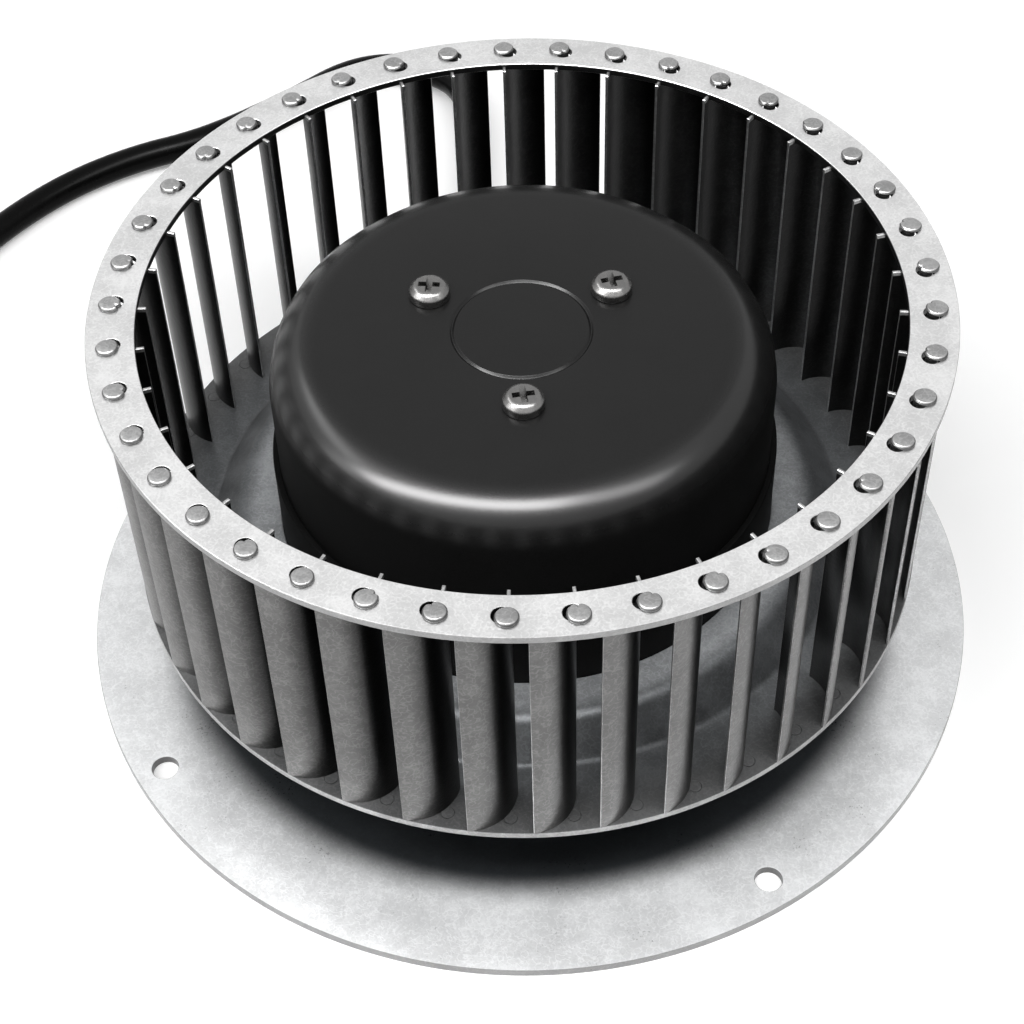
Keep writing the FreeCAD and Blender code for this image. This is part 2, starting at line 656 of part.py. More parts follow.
def make_rotor_spider():
    """Steel hub inside the can: tapped disc under its end, and the boss pressed on the shaft."""
    body = add_body("rotor_spider")
    boss_foot = UPPER_BEARING_TOP
    turn(body, [
        ("shaft_radius", boss_foot),
        (INNER_RACE, boss_foot),
        ("spider_boss_radius", SPIDER_UNDERSIDE),
        ("spider_radius", SPIDER_UNDERSIDE),
        ("spider_radius", CAN_CEILING),
        ("shaft_radius", CAN_CEILING),
    ])
    holes = add_sketch(body, "XY_Plane", CAN_CEILING)
    add_circle(holes, *polar("screw_circle", "first_screw_angle"), "screw_radius + press_gap")
    repeat(body, [cut(body, holes, "spider_thickness")], "screw_count")
    return body


def make_rotor_screws():
    """Pan-head screws through the can's end into the spider."""
    body = add_body("rotor_screws")
    head = f"{CAN_TOP} + screw_head_height"
    profile = [
        ("0", SPIDER_UNDERSIDE),
        ("screw_radius", SPIDER_UNDERSIDE),
        ("screw_radius", CAN_TOP),
        ("screw_head_radius", CAN_TOP),
        ("screw_head_radius", head),
        ("0", head),
    ]
    screw = turn(body, [(f"screw_circle + {r}", z) for r, z in profile], axis="screw_circle")
    recess = add_sketch(body, "XY_Plane", head)
    arm, half = "recess_reach", "recess_width / 2"
    above = [(arm, half), (half, half), (half, arm), (f"-{half}", arm), (f"-{half}", half), (f"-{arm}", half)]
    below = [(f"-({x})", f"-({y})") for x, y in above]
    add_outline(recess, [(f"screw_circle + {x}", y) for x, y in above + below])
    repeat(body, [screw, cut(body, recess, "recess_depth")], "screw_count")
    round_edges(body, [("screw_head_radius", head)], "screw_head_rounding")
    turn_about_z(body, "first_screw_angle")
    return body


def make_rotor_sleeve():
    """Sleeve pressed over the can's rim, with the flange that carries the wheel."""
    body = add_body("rotor_sleeve")
    turn(body, [
        (SLEEVE_BORE, CAN_RIM),
        (SLEEVE_FLANGE, CAN_RIM),
        (SLEEVE_FLANGE, HUB_UNDERSIDE),
        (SLEEVE_RADIUS, HUB_UNDERSIDE),
        (SLEEVE_RADIUS, SLEEVE_TOP),
        (SLEEVE_BORE, SLEEVE_TOP),
    ])
    rivet_holes(body, HUB_UNDERSIDE, "sleeve_flange_thickness")
    turn_about_z(body, "first_tab_angle")
    return body


def rivet_holes(body, top, length):
    """The holes for the hub rivets, cut down from a face at the given height."""
    holes = add_sketch(body, "XY_Plane", top)
    add_circle(holes, *polar(RIVET_CIRCLE, "hub_rivet_turn"), "hub_rivet_radius + press_gap")
    repeat(body, [cut(body, holes, length)], "hub_rivet_count")


def make_hub_rivets():
    """Rivets with a low round head above the hub and an upset one under the flange."""
    upset_radius = "hub_rivet_upset_radius"
    upset = f"{CAN_RIM} - hub_rivet_upset_height"
    head = f"{HUB_TOP} + hub_rivet_head_height"
    body = turned_pins("hub_rivets", RIVET_CIRCLE, [
        ("0", upset),
        (upset_radius, upset),
        (upset_radius, CAN_RIM),
        ("hub_rivet_radius", CAN_RIM),
        ("hub_rivet_radius", HUB_TOP),
        ("hub_rivet_head_radius", HUB_TOP),
        ("hub_rivet_head_radius", head),
        ("0", head),
    ], "hub_rivet_count")
    round_edges(body, [("hub_rivet_head_radius", head)], "hub_rivet_rounding")
    turn_about_z(body, "first_tab_angle + hub_rivet_turn")
    return body


# A blade in plan, drawn with its head on the X axis: a quarter turn of sheet whose centre lies
# beside the inner edge, so that it is radial there and tangential at the tip.
CURVE_X = HEEL_RADIUS
CURVE_Y = f"(blade_lead - {BLADE_CURVE})"
TO_CURVE = f"sqrt(({TAB_CIRCLE} - {CURVE_X})^2 + {CURVE_Y}^2)"


def beside_head(shift):
    """The point the given distance from the middle of a head towards the blade's centre of curve."""
    x = f"({TAB_CIRCLE} - {shift} * ({TAB_CIRCLE} - {CURVE_X}) / {TO_CURVE})"
    y = f"({shift} * {CURVE_Y} / {TO_CURVE})"
    return x, y


def tab_holes(body, top, length, shift, radius):
    """The ring of holes that the blades' tabs pass through."""
    sketch = add_sketch(body, "XY_Plane", top)
    add_circle(sketch, *beside_head(shift), radius)
    repeat(body, [cut(body, sketch, length)], "blade_count")


def make_inlet_ring():
    """Flat ring that ties the blades together round the inlet."""
    body = add_ring("inlet_ring", RING_BORE, "wheel_radius", RING_UNDERSIDE, RING_TOP)
    tab_holes(body, RING_TOP, "ring_thickness", "tab_hole_shift", "tab_hole_radius")
    turn_about_z(body, "first_tab_angle")
    return body


def make_back_plate():
    """Disc under the blades, pressed up in its middle to the raised hub that sits on the rotor."""
    body = add_body("back_plate")
    lean = "(disc_thickness * (sqrt(hub_slope^2 + hub_rise^2) - hub_slope) / hub_rise)"
    turn(body, [
        (HUB_BORE, HUB_UNDERSIDE),
        (f"{HUB_EDGE} - {lean}", HUB_UNDERSIDE),
        (f"{HUB_BEND} - {lean}", WHEEL_FLOOR),
        (DISC_RADIUS, WHEEL_FLOOR),
        (DISC_RADIUS, DISC_TOP),
        (HUB_BEND, DISC_TOP),
        (HUB_EDGE, HUB_TOP),
        (HUB_BORE, HUB_TOP),
    ])
    inside = [(HUB_BEND, DISC_TOP), (f"{HUB_EDGE} - {lean}", HUB_UNDERSIDE)]
    outside = [(HUB_EDGE, HUB_TOP), (f"{HUB_BEND} - {lean}", WHEEL_FLOOR)]
    round_edges(body, inside, "hub_bend")
    round_edges(body, outside, "hub_bend + disc_thickness")
    tab_holes(body, DISC_TOP, "disc_thickness", "tab_pin_shift", "(tab_pin_radius + press_gap)")
    rivet_holes(body, HUB_TOP, "disc_thickness")
    turn_about_z(body, "first_tab_angle")
    return body


def add_blade_section(sketch):
    """The curved strip of one blade."""
    cx, cy = value(CURVE_X), value(CURVE_Y)
    arcs = []
    for side in ("+ blade_thickness / 2", "- blade_thickness / 2"):
        reach = f"({BLADE_CURVE} {side})"
        circle = Part.Circle(Vector(cx, cy, 0), Vector(0, 0, 1), value(reach))
        arc = sketch.addGeometry(Part.ArcOfCircle(circle, 0, math.pi / 2))
        place(sketch, arc, 3, "x", CURVE_X)
        place(sketch, arc, 3, "y", CURVE_Y)
        place(sketch, arc, 1, "x", f"{CURVE_X} + {reach}")
        place(sketch, arc, 1, "y", CURVE_Y)
        place(sketch, arc, 2, "x", CURVE_X)
        arcs.append(arc)
    outer, inner = (sketch.Geometry[arc] for arc in arcs)
    ends = ((1, outer.StartPoint, inner.StartPoint), (2, outer.EndPoint, inner.EndPoint))
    for end, start, finish in ends:
        line = sketch.addGeometry(Part.LineSegment(start, finish))
        sketch.addConstraint(Sketcher.Constraint("Coincident", arcs[0], end, line, 1))
        sketch.addConstraint(Sketcher.Constraint("Coincident", arcs[1], end, line, 2))


def make_blades():
    """All blades: a curved strip, its corner in the inlet, and a staked tab through ring and disc."""
    body = add_body("blades")
    strip = add_sketch(body, "XY_Plane", DISC_TOP)
    add_blade_section(strip)
    features = [pad(body, strip, f"{RING_UNDERSIDE} - {DISC_TOP}")]
    nib = add_sketch(body, "XY_Plane", RING_UNDERSIDE)
    one_side, other_side = "blade_lead - blade_thickness / 2", "blade_lead + blade_thickness / 2"
    edge = f"{RING_BORE} - press_gap"
    add_outline(nib, [
        (HEEL_RADIUS, one_side), (edge, one_side), (edge, other_side), (HEEL_RADIUS, other_side)])
    features.append(pad(body, nib, "blade_nib_height"))
    x, y = beside_head("tab_pin_shift")
    for face, length in ((RING_UNDERSIDE, "ring_thickness"), (WHEEL_FLOOR, "disc_thickness")):
        pin = add_sketch(body, "XY_Plane", face)
        add_circle(pin, x, y, "tab_pin_radius")
        features.append(pad(body, pin, length))
    for face, sign in ((RING_TOP, "+"), (WHEEL_FLOOR, "-")):
        rim = "tab_head_radius"
        profile = [
            ("0", face),
            (rim, face),
            (rim, f"{face} {sign} (tab_head_height - tab_head_bevel)"),
            (f"{rim} - tab_head_bevel", f"{face} {sign} tab_head_height"),
            ("0", f"{face} {sign} tab_head_height"),
        ]
        features.append(turn(body, [(f"{TAB_CIRCLE} + {r}", z) for r, z in profile], axis=TAB_CIRCLE))
    repeat(body, features, "blade_count")
    turn_about_z(body, "first_tab_angle")
    return body


# Corners of the cable's middle line after its first run, in millimetres: ahead of the grommet's
# end along its axis, to the left of that axis, and above the origin. It falls to the floor behind
# the plate, turns left and lies beside the fan.
CABLE_CORNERS = (
    (69.3, -6.7, 8.2),
    (109.5, -12.1, 6.6),
    (124.7, -1.1, 6.1),
    (128.2, 17.3, 5.6),
    (116.6, 35.9, 5.1),
    (105.4, 59.3, 4.4),
    (102, 79.3, 3.9),
    (92.8, 98.9, 3.6),
    (76.1, 117.7, 3.6),
    (55.6, 133.1, 3.6),
    (30.3, 146.8, 3.6),
    (-4, 154.5, 3.6),
    (-42, 155.5, 3.6),
    (-79.9, 153.1, 3.6),
)
# How far from a corner an arc begins, as a share of the shorter run beside it.
ARC_SHARE = 0.45


def cable_points():
    """The cable's corners in the frame of the part, from the grommet's end to the jacket's end."""
    heading = math.radians(value("gland_angle"))
    ahead = Vector(math.cos(heading), math.sin(heading), 0)
    left = Vector(-ahead.y, ahead.x, 0)
    outlet = ahead * value("flange_wall_radius + gland_reach")
    start = outlet + Vector(0, 0, value("gland_height"))
    points = [start, start + ahead * value("cable_straight")]
    for forward, aside, height in CABLE_CORNERS:
        points.append(outlet + ahead * forward + left * aside + Vector(0, 0, height))
    return points


def route(name, points):
    """Straight runs joined by arcs that touch them; prints the radii of the arcs."""
    edges = []
    radii = []
    here = points[0]
    for before, corner, after in zip(points, points[1:], points[2:]):
        back, forth = before - corner, after - corner
        half_turn = (math.pi - back.getAngle(forth)) / 2
        reach = ARC_SHARE * min(back.Length, forth.Length)
        radius = reach / math.tan(half_turn)
        back.normalize()
        forth.normalize()
        inward = (back + forth).normalize()
        start, finish = corner + back * reach, corner + forth * reach
        middle = corner + inward * (radius / math.cos(half_turn) - radius)
        edges.append(Part.LineSegment(here, start).toShape())
        edges.append(Part.Arc(start, middle, finish).toShape())
        radii.append(round(radius, 1))
        here = finish
    edges.append(Part.LineSegment(here, points[-1]).toShape())
    wire = Part.Wire(edges)
    print(name, "length", round(wire.Length, 1), "arc radii", radii)
    return wire


def sweep(name, points, radius):
    """A round cord along a route."""
    wire = route(name, points)
    section = Part.Wire(Part.Circle(points[0], points[1] - points[0], radius).toShape())
    solid = wire.makePipeShell([section], True, False)
    expected = math.pi * radius**2 * wire.Length
    print(name, "volume", round(solid.Volume, 1), "of", round(expected, 1))
    if abs(solid.Volume - expected) > 0.01 * expected:
        raise RuntimeError(f"{name} is folded")
    return solid


def add_shape(name, shape):
    thing = doc.addObject("Part::Feature", name)
    thing.Label = name
    thing.Shape = shape
    thing.Placement = Placement()
    return thing


def make_cable():
    """The jacketed cable, the insulated wires bared at its far end and the ferrules on them."""
    points = cable_points()
    cable = sweep("cable", points, value("cable_radius"))
    along = (points[-1] - points[-2]).normalize()
    side = Vector(0, 0, 1).cross(along).normalize()
    upward = along.cross(side)
    length = value("core_wire_length")
    wires = []
    ferrules = []
    count = int(value("core_wire_count"))
    for number in range(count):
        lean = math.radians(value("core_wire_angle")) + math.tau * number / count
        outward = side * math.cos(lean) + upward * math.sin(lean)
        start = points[-1] + outward * value("core_wire_circle")
        spread = side * math.cos(lean) * value("core_wire_spread")
        bend = start + along * value("core_wire_bend")
        end = start + along * length + spread
        wires.append(sweep("wire", [start, bend, end], value("core_wire_radius")))
        ferrules.append(Part.makeCylinder(
            value("ferrule_radius"), value("ferrule_length"), end, end - bend))
    return [
        add_shape("cable", cable),
        add_shape("cable_wires", Part.makeCompound(wires)),
        add_shape("wire_ferrules", Part.makeCompound(ferrules)),
    ]


parts = [
    make_mounting_plate(),
    make_foot_screws(),
    make_motor_flange(),
    make_grommet(),
    *make_bearing("upper", UPPER_BEARING_SEAT),
    *make_bearing("lower", "lower_bearing_height"),
    make_preload_washer(),
    make_shaft(),
    make_retaining_ring(),
    make_stator_core(),
    *make_windings(),
    *make_rotor_core(),
    make_rotor_can(),
    make_rotor_spider(),
    make_rotor_screws(),
    make_rotor_sleeve(),
    make_hub_rivets(),
    make_inlet_ring(),
    make_back_plate(),
    make_blades(),
    *make_cable(),
]
doc.recompute()

for thing in doc.Objects:
    wrong = [state for state in thing.State if state in ("Invalid", "Error")]
    if wrong:
        raise RuntimeError(f"{thing.Name}: {wrong}")
for part in parts:
    if part.Shape.isNull() or not part.Shape.isValid() or not part.Shape.Solids:
        raise RuntimeError(f"{part.Label} is not a sound shape")

os.makedirs("parts", exist_ok=True)
for part in parts:
    part.Shape.exportStep(f"parts/{part.Label}.step")
    print(part.Label, len(part.Shape.Solids), "solids", round(part.Shape.Volume), "mm3")
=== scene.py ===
# %% [markdown]
# A centrifugal fan: a drum of curved blades riveted to the turning outside of its motor, standing
# on a round galvanised plate. This lesson dresses the measured model of that fan. The model comes
# in as a frame that stays as it is, and every piece made here lies where the frame's solid lies.
# All sizes are in metres, Z is the shaft, and the plate's underside is at height 0.

# %% Load the frame
import math
import random

import bmesh
import bpy
from mathutils import Matrix, Vector


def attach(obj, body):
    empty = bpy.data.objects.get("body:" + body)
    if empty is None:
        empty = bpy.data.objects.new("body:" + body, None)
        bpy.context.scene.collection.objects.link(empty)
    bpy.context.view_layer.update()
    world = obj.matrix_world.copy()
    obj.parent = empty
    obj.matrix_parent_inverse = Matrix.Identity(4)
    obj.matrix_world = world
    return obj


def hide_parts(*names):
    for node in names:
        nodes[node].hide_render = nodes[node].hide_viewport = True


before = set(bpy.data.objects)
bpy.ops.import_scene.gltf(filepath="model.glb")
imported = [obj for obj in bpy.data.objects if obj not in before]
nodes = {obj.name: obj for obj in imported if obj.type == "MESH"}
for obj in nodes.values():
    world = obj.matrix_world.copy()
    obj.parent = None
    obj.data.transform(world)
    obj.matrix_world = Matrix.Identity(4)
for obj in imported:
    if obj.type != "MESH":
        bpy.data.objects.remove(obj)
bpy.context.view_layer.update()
MM = 0.001

# %% [markdown]
# The camera comes first, because it decides what has to look right. The photograph looks down on
# the fan from a little less than half a metre away with a medium long lens. The angles were found
# from the circles that share the shaft's axis: the ring, the rotor and the plate.

# %% Camera
CAMERA_PLACE = Vector((0, -0.2874, 0.349))
LOOK_DOWN = math.radians(48.295)
LOOK_ASIDE = math.radians(-0.5925)
LOOK_ROLL = math.radians(-1.9786)
LENS_MM = 73.89
SENSOR_MM = 36
CLIP = (0.01, 20)


def add_camera():
    """The photograph's camera, from its place and the three angles."""
    level = math.cos(LOOK_DOWN)
    ahead = Vector((math.sin(LOOK_ASIDE) * level, math.cos(LOOK_ASIDE) * level,
                    -math.sin(LOOK_DOWN)))
    aside = ahead.cross(Vector((0, 0, 1))).normalized()
    right = Matrix.Rotation(-LOOK_ROLL, 3, ahead) @ aside
    up = right.cross(ahead)
    lens = bpy.data.cameras.new("camera")
    lens.lens, lens.sensor_width = LENS_MM, SENSOR_MM
    lens.clip_start, lens.clip_end = CLIP
    camera = bpy.data.objects.new("camera", lens)
    turn = Matrix((right, up, -ahead)).transposed().to_4x4()
    camera.matrix_world = Matrix.Translation(CAMERA_PLACE) @ turn
    bpy.context.collection.objects.link(camera)
    bpy.context.scene.camera = camera
    return camera


camera = add_camera()
print("camera right", [round(v, 4) for v in camera.matrix_world.col[0][:3]])

# %% [markdown]
# Surfaces are drawn by shader nodes. Written as sums in Python they are much easier to read than as
# a list of links, so one small class wraps a socket: adding or multiplying two of them adds the
# Math node that does it, and one method makes every other node.

# %% Shader sums
WORM_WIDTH = 0.06


class Wave:
    """A socket of a material's tree that can stand in a sum."""

    def __init__(self, tree, socket):
        self.tree, self.socket = tree, socket

    def node(self, kind, settings=None, inputs=None, output=0):
        """Adds any node: its type, its settings, then the values or links of its sockets."""
        made = self.tree.nodes.new(kind)
        for name, setting in (settings or {}).items():
            setattr(made, name, setting)
        for name, given in (inputs or {}).items():
            if isinstance(given, Wave):
                self.tree.links.new(given.socket, made.inputs[name])
            else:
                made.inputs[name].default_value = given
        return Wave(self.tree, made.outputs[output])

    def maths(self, operation, first, second=0.0):
        return self.node("ShaderNodeMath", {"operation": operation}, {0: first, 1: second})

    def __add__(self, other):
        return self.maths("ADD", self, other)

    def __sub__(self, other):
        return self.maths("SUBTRACT", self, other)

    def __rsub__(self, other):
        return self.maths("SUBTRACT", other, self)

    def __mul__(self, other):
        return self.maths("MULTIPLY", self, other)

    __radd__ = __add__
    __rmul__ = __mul__

    def noise(self, size, detail=3.0, stretch=None):
        """Soft noise from 0 to 1 whose spots are about the given size in metres."""
        place = self if stretch is None else self.node(
            "ShaderNodeVectorMath", {"operation": "MULTIPLY"}, {0: self, 1: stretch})
        settings = {"Vector": place, "Scale": 1 / size, "Detail": detail}
        return self.node("ShaderNodeTexNoise", None, settings)

    def worms(self, size):
        """Thin winding lines, 1 along their middle, about the given size in metres apart."""
        middle = self.noise(size, 1) - 0.5
        return 1 - self.maths("ABSOLUTE", middle).ramp(0, WORM_WIDTH)

    def parts(self):
        """A place's x, y and height, and its distance from the shaft's axis."""
        split = self.node("ShaderNodeSeparateXYZ", None, {0: self}).socket.node
        x, y, height = [Wave(self.tree, output) for output in split.outputs]
        return x, y, height, self.maths("SQRT", x * x + y * y)

    def ramp(self, low, high):
        """0 up to low, 1 from high on, and a smooth rise between."""
        return self.node("ShaderNodeMapRange", {"interpolation_type": "SMOOTHSTEP"},
                         {"Value": self, "From Min": low, "From Max": high})

    def blend(self, first, second):
        """This socket as the share of the second colour."""
        given = {0: self, 6: first, 7: second}
        return self.node("ShaderNodeMix", {"data_type": "RGBA"}, given, output=2)


def grey(level, tint=0.0):
    """A grey, bluer with a tint above 0 and warmer below."""
    return (level * (1 - tint), level, level * (1 + tint), 1)


def start(name):
    """A new material, its Principled shader and its places in the frame, in metres."""
    made = bpy.data.materials.new(name)
    made.use_nodes = True
    tree = made.node_tree
    shader = tree.nodes["Principled BSDF"]
    place = Wave(tree, tree.nodes.new("ShaderNodeTexCoord").outputs["Object"])
    return made, shader, place


def feed(shader, name, wave):
    wave.tree.links.new(wave.socket, shader.inputs[name])


def feed_bump(shader, wave, depth):
    """Roughens the surface by the wave, from nothing up to the given depth in metres."""
    bump = wave.node("ShaderNodeBump", None, {"Height": wave, "Distance": depth, "Strength": 1})
    feed(shader, "Normal", bump)


def plain_finish(name, first, second, marks, rough, metallic=0, bump=None, specular=None):
    """A finish led by one noise. Marks are its size and detail, rough is the least roughness and
    what the noise adds, and bump is the size, detail and depth of a second noise."""
    made, shader, place = start(name)
    wave = place.noise(*marks)
    least, added = rough
    feed(shader, "Base Color", wave.blend(first, second))
    feed(shader, "Roughness", least + wave * added)
    shader.inputs["Metallic"].default_value = metallic
    if specular is not None:
        shader.inputs["Specular IOR Level"].default_value = specular
    if bump:
        size, detail, depth = bump
        feed_bump(shader, place.noise(size, detail), depth)
    return made


print("shader helper ready")

# %% [markdown]
# The cable is the one part that lies loose. It leaves the motor through a rubber grommet, comes
# over the edge of the plate, falls to the table behind it and turns to the left. Its corners are
# those of the measured model. A NURBS spline of order 3, led by them, gives one smooth line.

# %% Cable route
GLAND_ANGLE = math.radians(98)
GLAND_HEIGHT = 13 * MM
GLAND_END = 57 * MM
CABLE_RADIUS = 3.5 * MM
CORD_FACETS = 10
CORD_STEPS = 24
CABLE_CORNERS = (
    (0, 0, 13),
    (28, 0, 13),
    (69.3, -6.7, 8.2),
    (109.5, -12.1, 6.6),
    (124.7, -1.1, 6.1),
    (128.2, 17.3, 5.6),
    (116.6, 35.9, 5.1),
    (105.4, 59.3, 4.4),
    (102, 79.3, 3.9),
    (92.8, 98.9, 3.6),
    (76.1, 117.7, 3.6),
    (55.6, 133.1, 3.6),
    (30.3, 146.8, 3.6),
    (-4, 154.5, 3.6),
    (-42, 155.5, 3.6),
    (-79.9, 153.1, 3.6),
)


def cable_points():
    """The cable's corners: ahead of the grommet's end, to the left of it, and above the table."""
    ahead = Vector((math.cos(GLAND_ANGLE), math.sin(GLAND_ANGLE), 0))
    left = Vector((-ahead.y, ahead.x, 0))
    outlet = ahead * GLAND_END
    points = []
    for forward, aside, height in CABLE_CORNERS:
        points.append(outlet + (ahead * forward + left * aside + Vector((0, 0, height))) * MM)
    return points


def add_object(name, data, body="base"):
    """Links a piece into the scene and lets it ride on a body of the frame."""
    made = bpy.data.objects.new(name, data)
    bpy.context.collection.objects.link(made)
    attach(made, body)
    return made


def add_cord(name, points, radius, material):
    """A round cord along one smooth open spline."""
    line = bpy.data.curves.new(name, "CURVE")
    line.dimensions = "3D"
    line.bevel_depth, line.bevel_resolution = radius, CORD_FACETS
    line.resolution_u = CORD_STEPS
    line.use_fill_caps = True
    spline = line.splines.new("NURBS")
    spline.points.add(len(points) - 1)
    for spot, point in zip(spline.points, points):
        spot.co = (*point, 1)
    spline.order_u = 3
    spline.use_endpoint_u = True
    line.materials.append(material)
    return add_object(name, line)


# Glossy PVC with the faint drag marks of its extruder.
jacket = plain_finish("jacket_black", grey(0.001), grey(0.002), (4 * MM, 2), (0.24, 0.08),
                      bump=(1.2 * MM, 2, 0.02 * MM), specular=0.06)
route = cable_points()
cable = add_cord("cable_line", route, CABLE_RADIUS, jacket)
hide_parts("cable")
print("cable from", [round(v, 4) for v in route[0]], "to", [round(v, 4) for v in route[-1]])

# %% [markdown]
# At its far end the jacket is cut back and three insulated wires stick out, each with a tinned
# ferrule crimped on. They are short cords of their own kind, in the three usual mains colours.

# %% Wires and ferrules
WIRE_RADIUS = 0.9 * MM
WIRE_CIRCLE = 1.15 * MM
WIRE_LENGTH = 32 * MM
WIRE_SPREAD = 6 * MM
WIRE_BEND = 0.4
WIRE_SHADE = 0.75
FERRULE_RADIUS = 0.75 * MM
FERRULE_LENGTH = 8 * MM
WIRES = ((50, (0.16, 0.05, 0.02, 1)), (170, (0.02, 0.07, 0.35, 1)), (290, (0.08, 0.22, 0.03, 1)))


def add_wires():
    """The three wires and their ferrules, and the list of them."""
    along = (route[-1] - route[-2]).normalized()
    side = Vector((0, 0, 1)).cross(along).normalized()
    upward = along.cross(side)
    tin = plain_finish("tinned", grey(0.7), grey(0.55), (0.8 * MM, 3), (0.22, 0.2), metallic=1)
    made = []
    for number, (degrees, colour) in enumerate(WIRES, start=1):
        lean = math.radians(degrees)
        start_point = route[-1] + (side * math.cos(lean) + upward * math.sin(lean)) * WIRE_CIRCLE
        bend = start_point + along * (WIRE_BEND * WIRE_LENGTH)
        end = start_point + along * WIRE_LENGTH + side * math.cos(lean) * WIRE_SPREAD
        darker = (*[level * WIRE_SHADE for level in colour[:3]], 1)
        coat = plain_finish(f"wire_coat_{number}", colour, darker, (3 * MM, 2), (0.35, 0.1))
        wire = add_cord(f"wire_{number}", [start_point, bend, end], WIRE_RADIUS, coat)
        tip = end + (end - bend).normalized() * FERRULE_LENGTH
        ferrule = add_cord(f"ferrule_{number}", [end, (end + tip) / 2, tip], FERRULE_RADIUS, tin)
        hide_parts("cable_wires")
        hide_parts("wire_ferrules")
        made += [wire, ferrule]
    return made


cable_end = add_wires()
print("pieces at the cable's end", len(cable_end))

# %% [markdown]
# Most pieces of a fan are turned or pressed round the shaft. A turned piece is its half outline
# swept round. Real edges are never quite sharp, and the small rounding is what catches the light,
# so corners are rounded before the sweep.

# %% Turned pieces
TURN_STEPS = 240
WELD = 1e-7


def rounded(outline, steps=5):
    """An outline of (radius, height, rounding) corners with an arc put in each rounded corner."""
    points = []
    count = len(outline)
    for i, (r, z, rounding) in enumerate(outline):
        corner = Vector((r, z))
        if rounding == 0:
            points.append(corner)
            continue
        back = Vector(outline[i - 1][:2]) - corner
        forth = Vector(outline[(i + 1) % count][:2]) - corner
        half = back.angle(forth) / 2
        reach = rounding / math.tan(half)
        inward = (back.normalized() + forth.normalized()).normalized()
        middle = corner + inward * (rounding / math.sin(half))
        first = corner + back.normalized() * reach - middle
        last = corner + forth.normalized() * reach - middle
        sweep = first.angle_signed(last)
        for step in range(steps + 1):
            turn = Matrix.Rotation(-sweep * step / steps, 2)
            points.append(middle + turn @ first)
    return points


def to_mesh(name, mesh_data):
    """A mesh from mesh data, with doubled points joined and its faces turned outwards."""
    mesh = bpy.data.meshes.new(name)
    bmesh.ops.remove_doubles(mesh_data, verts=mesh_data.verts, dist=WELD)
    bmesh.ops.recalc_face_normals(mesh_data, faces=mesh_data.faces)
    mesh_data.to_mesh(mesh)
    mesh_data.free()
    return mesh


def finish_mesh(name, mesh_data, material, body, smooth_degrees=35):
    """A piece with smooth faces and crisp edges where they meet at an angle."""
    mesh = to_mesh(name, mesh_data)
    mesh.shade_smooth()
    mesh.set_sharp_from_angle(angle=math.radians(smooth_degrees))
    mesh.materials.append(material)
    return add_object(name, mesh, body)


def skin(mesh_data, lower, upper):
    """Side faces between two closed loops of points."""
    for k in range(len(lower)):
        after = (k + 1) % len(lower)
        mesh_data.faces.new((lower[k], lower[after], upper[after], upper[k]))


def sweep_round(mesh_data, points, place=None, steps=TURN_STEPS, dent=None):
    """Adds the closed outline swept round Z and moved by place; dent may move its points."""
    place = place or Matrix.Identity(4)
    rings = []
    for step in range(steps):
        angle = math.tau * step / steps
        c, s = math.cos(angle), math.sin(angle)
        around = points if dent is None else [dent(p, angle) for p in points]
        rings.append([mesh_data.verts.new(place @ Vector((p.x * c, p.x * s, p.y))) for p in around])
    for ring, following in zip(rings, rings[1:] + rings[:1]):
        for i in range(len(points)):
            before = i - 1
            if points[i].x < WELD and points[before].x < WELD:
                continue
            mesh_data.faces.new((ring[before], ring[i], following[i], following[before]))


def turned(name, outline, material, body):
    """One piece turned round the shaft from (radius, height, rounding) corners in metres."""
    mesh_data = bmesh.new()
    sweep_round(mesh_data, rounded(outline))
    return finish_mesh(name, mesh_data, material, body)


print("turning helper ready")

# %% [markdown]
# Sheet parts are flat with round holes. Their faces are filled between circles, and a narrow bevel
# goes round every circle, as the punch leaves it.

# %% Pressed sheet
LARGE_CIRCLE = 20 * MM
LARGE_STEPS = 288
SMALL_STEPS = 32


def circle_steps(radius):
    """More points on a large circle than on a small hole."""
    return LARGE_STEPS if radius > LARGE_CIRCLE else SMALL_STEPS


def add_sheet(mesh_data, circles, low, high):
    """Adds flat sheet between circles of (x, y, radius below, radius above, bevel); the first
    one is its outside and the others are holes."""
    caps = {"low": [], "high": []}
    for index, (x, y, r_low, r_high, bevel) in enumerate(circles):
        inward = -bevel if index == 0 else bevel
        levels = [(r_low + inward, low), (r_low, low + bevel),
                  (r_high, high - bevel), (r_high + inward, high)]
        count = circle_steps(r_low)
        loops = []
        for radius, z in levels:
            loops.append([mesh_data.verts.new((
                x + radius * math.cos(math.tau * k / count),
                y + radius * math.sin(math.tau * k / count), z)) for k in range(count)])
        for lower, upper in zip(loops, loops[1:]):
            skin(mesh_data, lower, upper)
        for cap, loop in (("low", loops[0]), ("high", loops[-1])):
            for k in range(count):
                edge = mesh_data.edges.get((loop[k], loop[(k + 1) % count]))
                caps[cap].append(edge)
    for edges in caps.values():
        bmesh.ops.triangle_fill(mesh_data, use_beauty=True, edges=edges)


def polar(radius, degrees):
    """x and y at a radius and an angle."""
    angle = math.radians(degrees)
    return radius * math.cos(angle), radius * math.sin(angle)


def spread_round(radius, first, count):
    """x and y of each place in an even circle of them, from the first angle on."""
    return [polar(radius, first + 360 * k / count) for k in range(count)]


print("sheet helper ready")
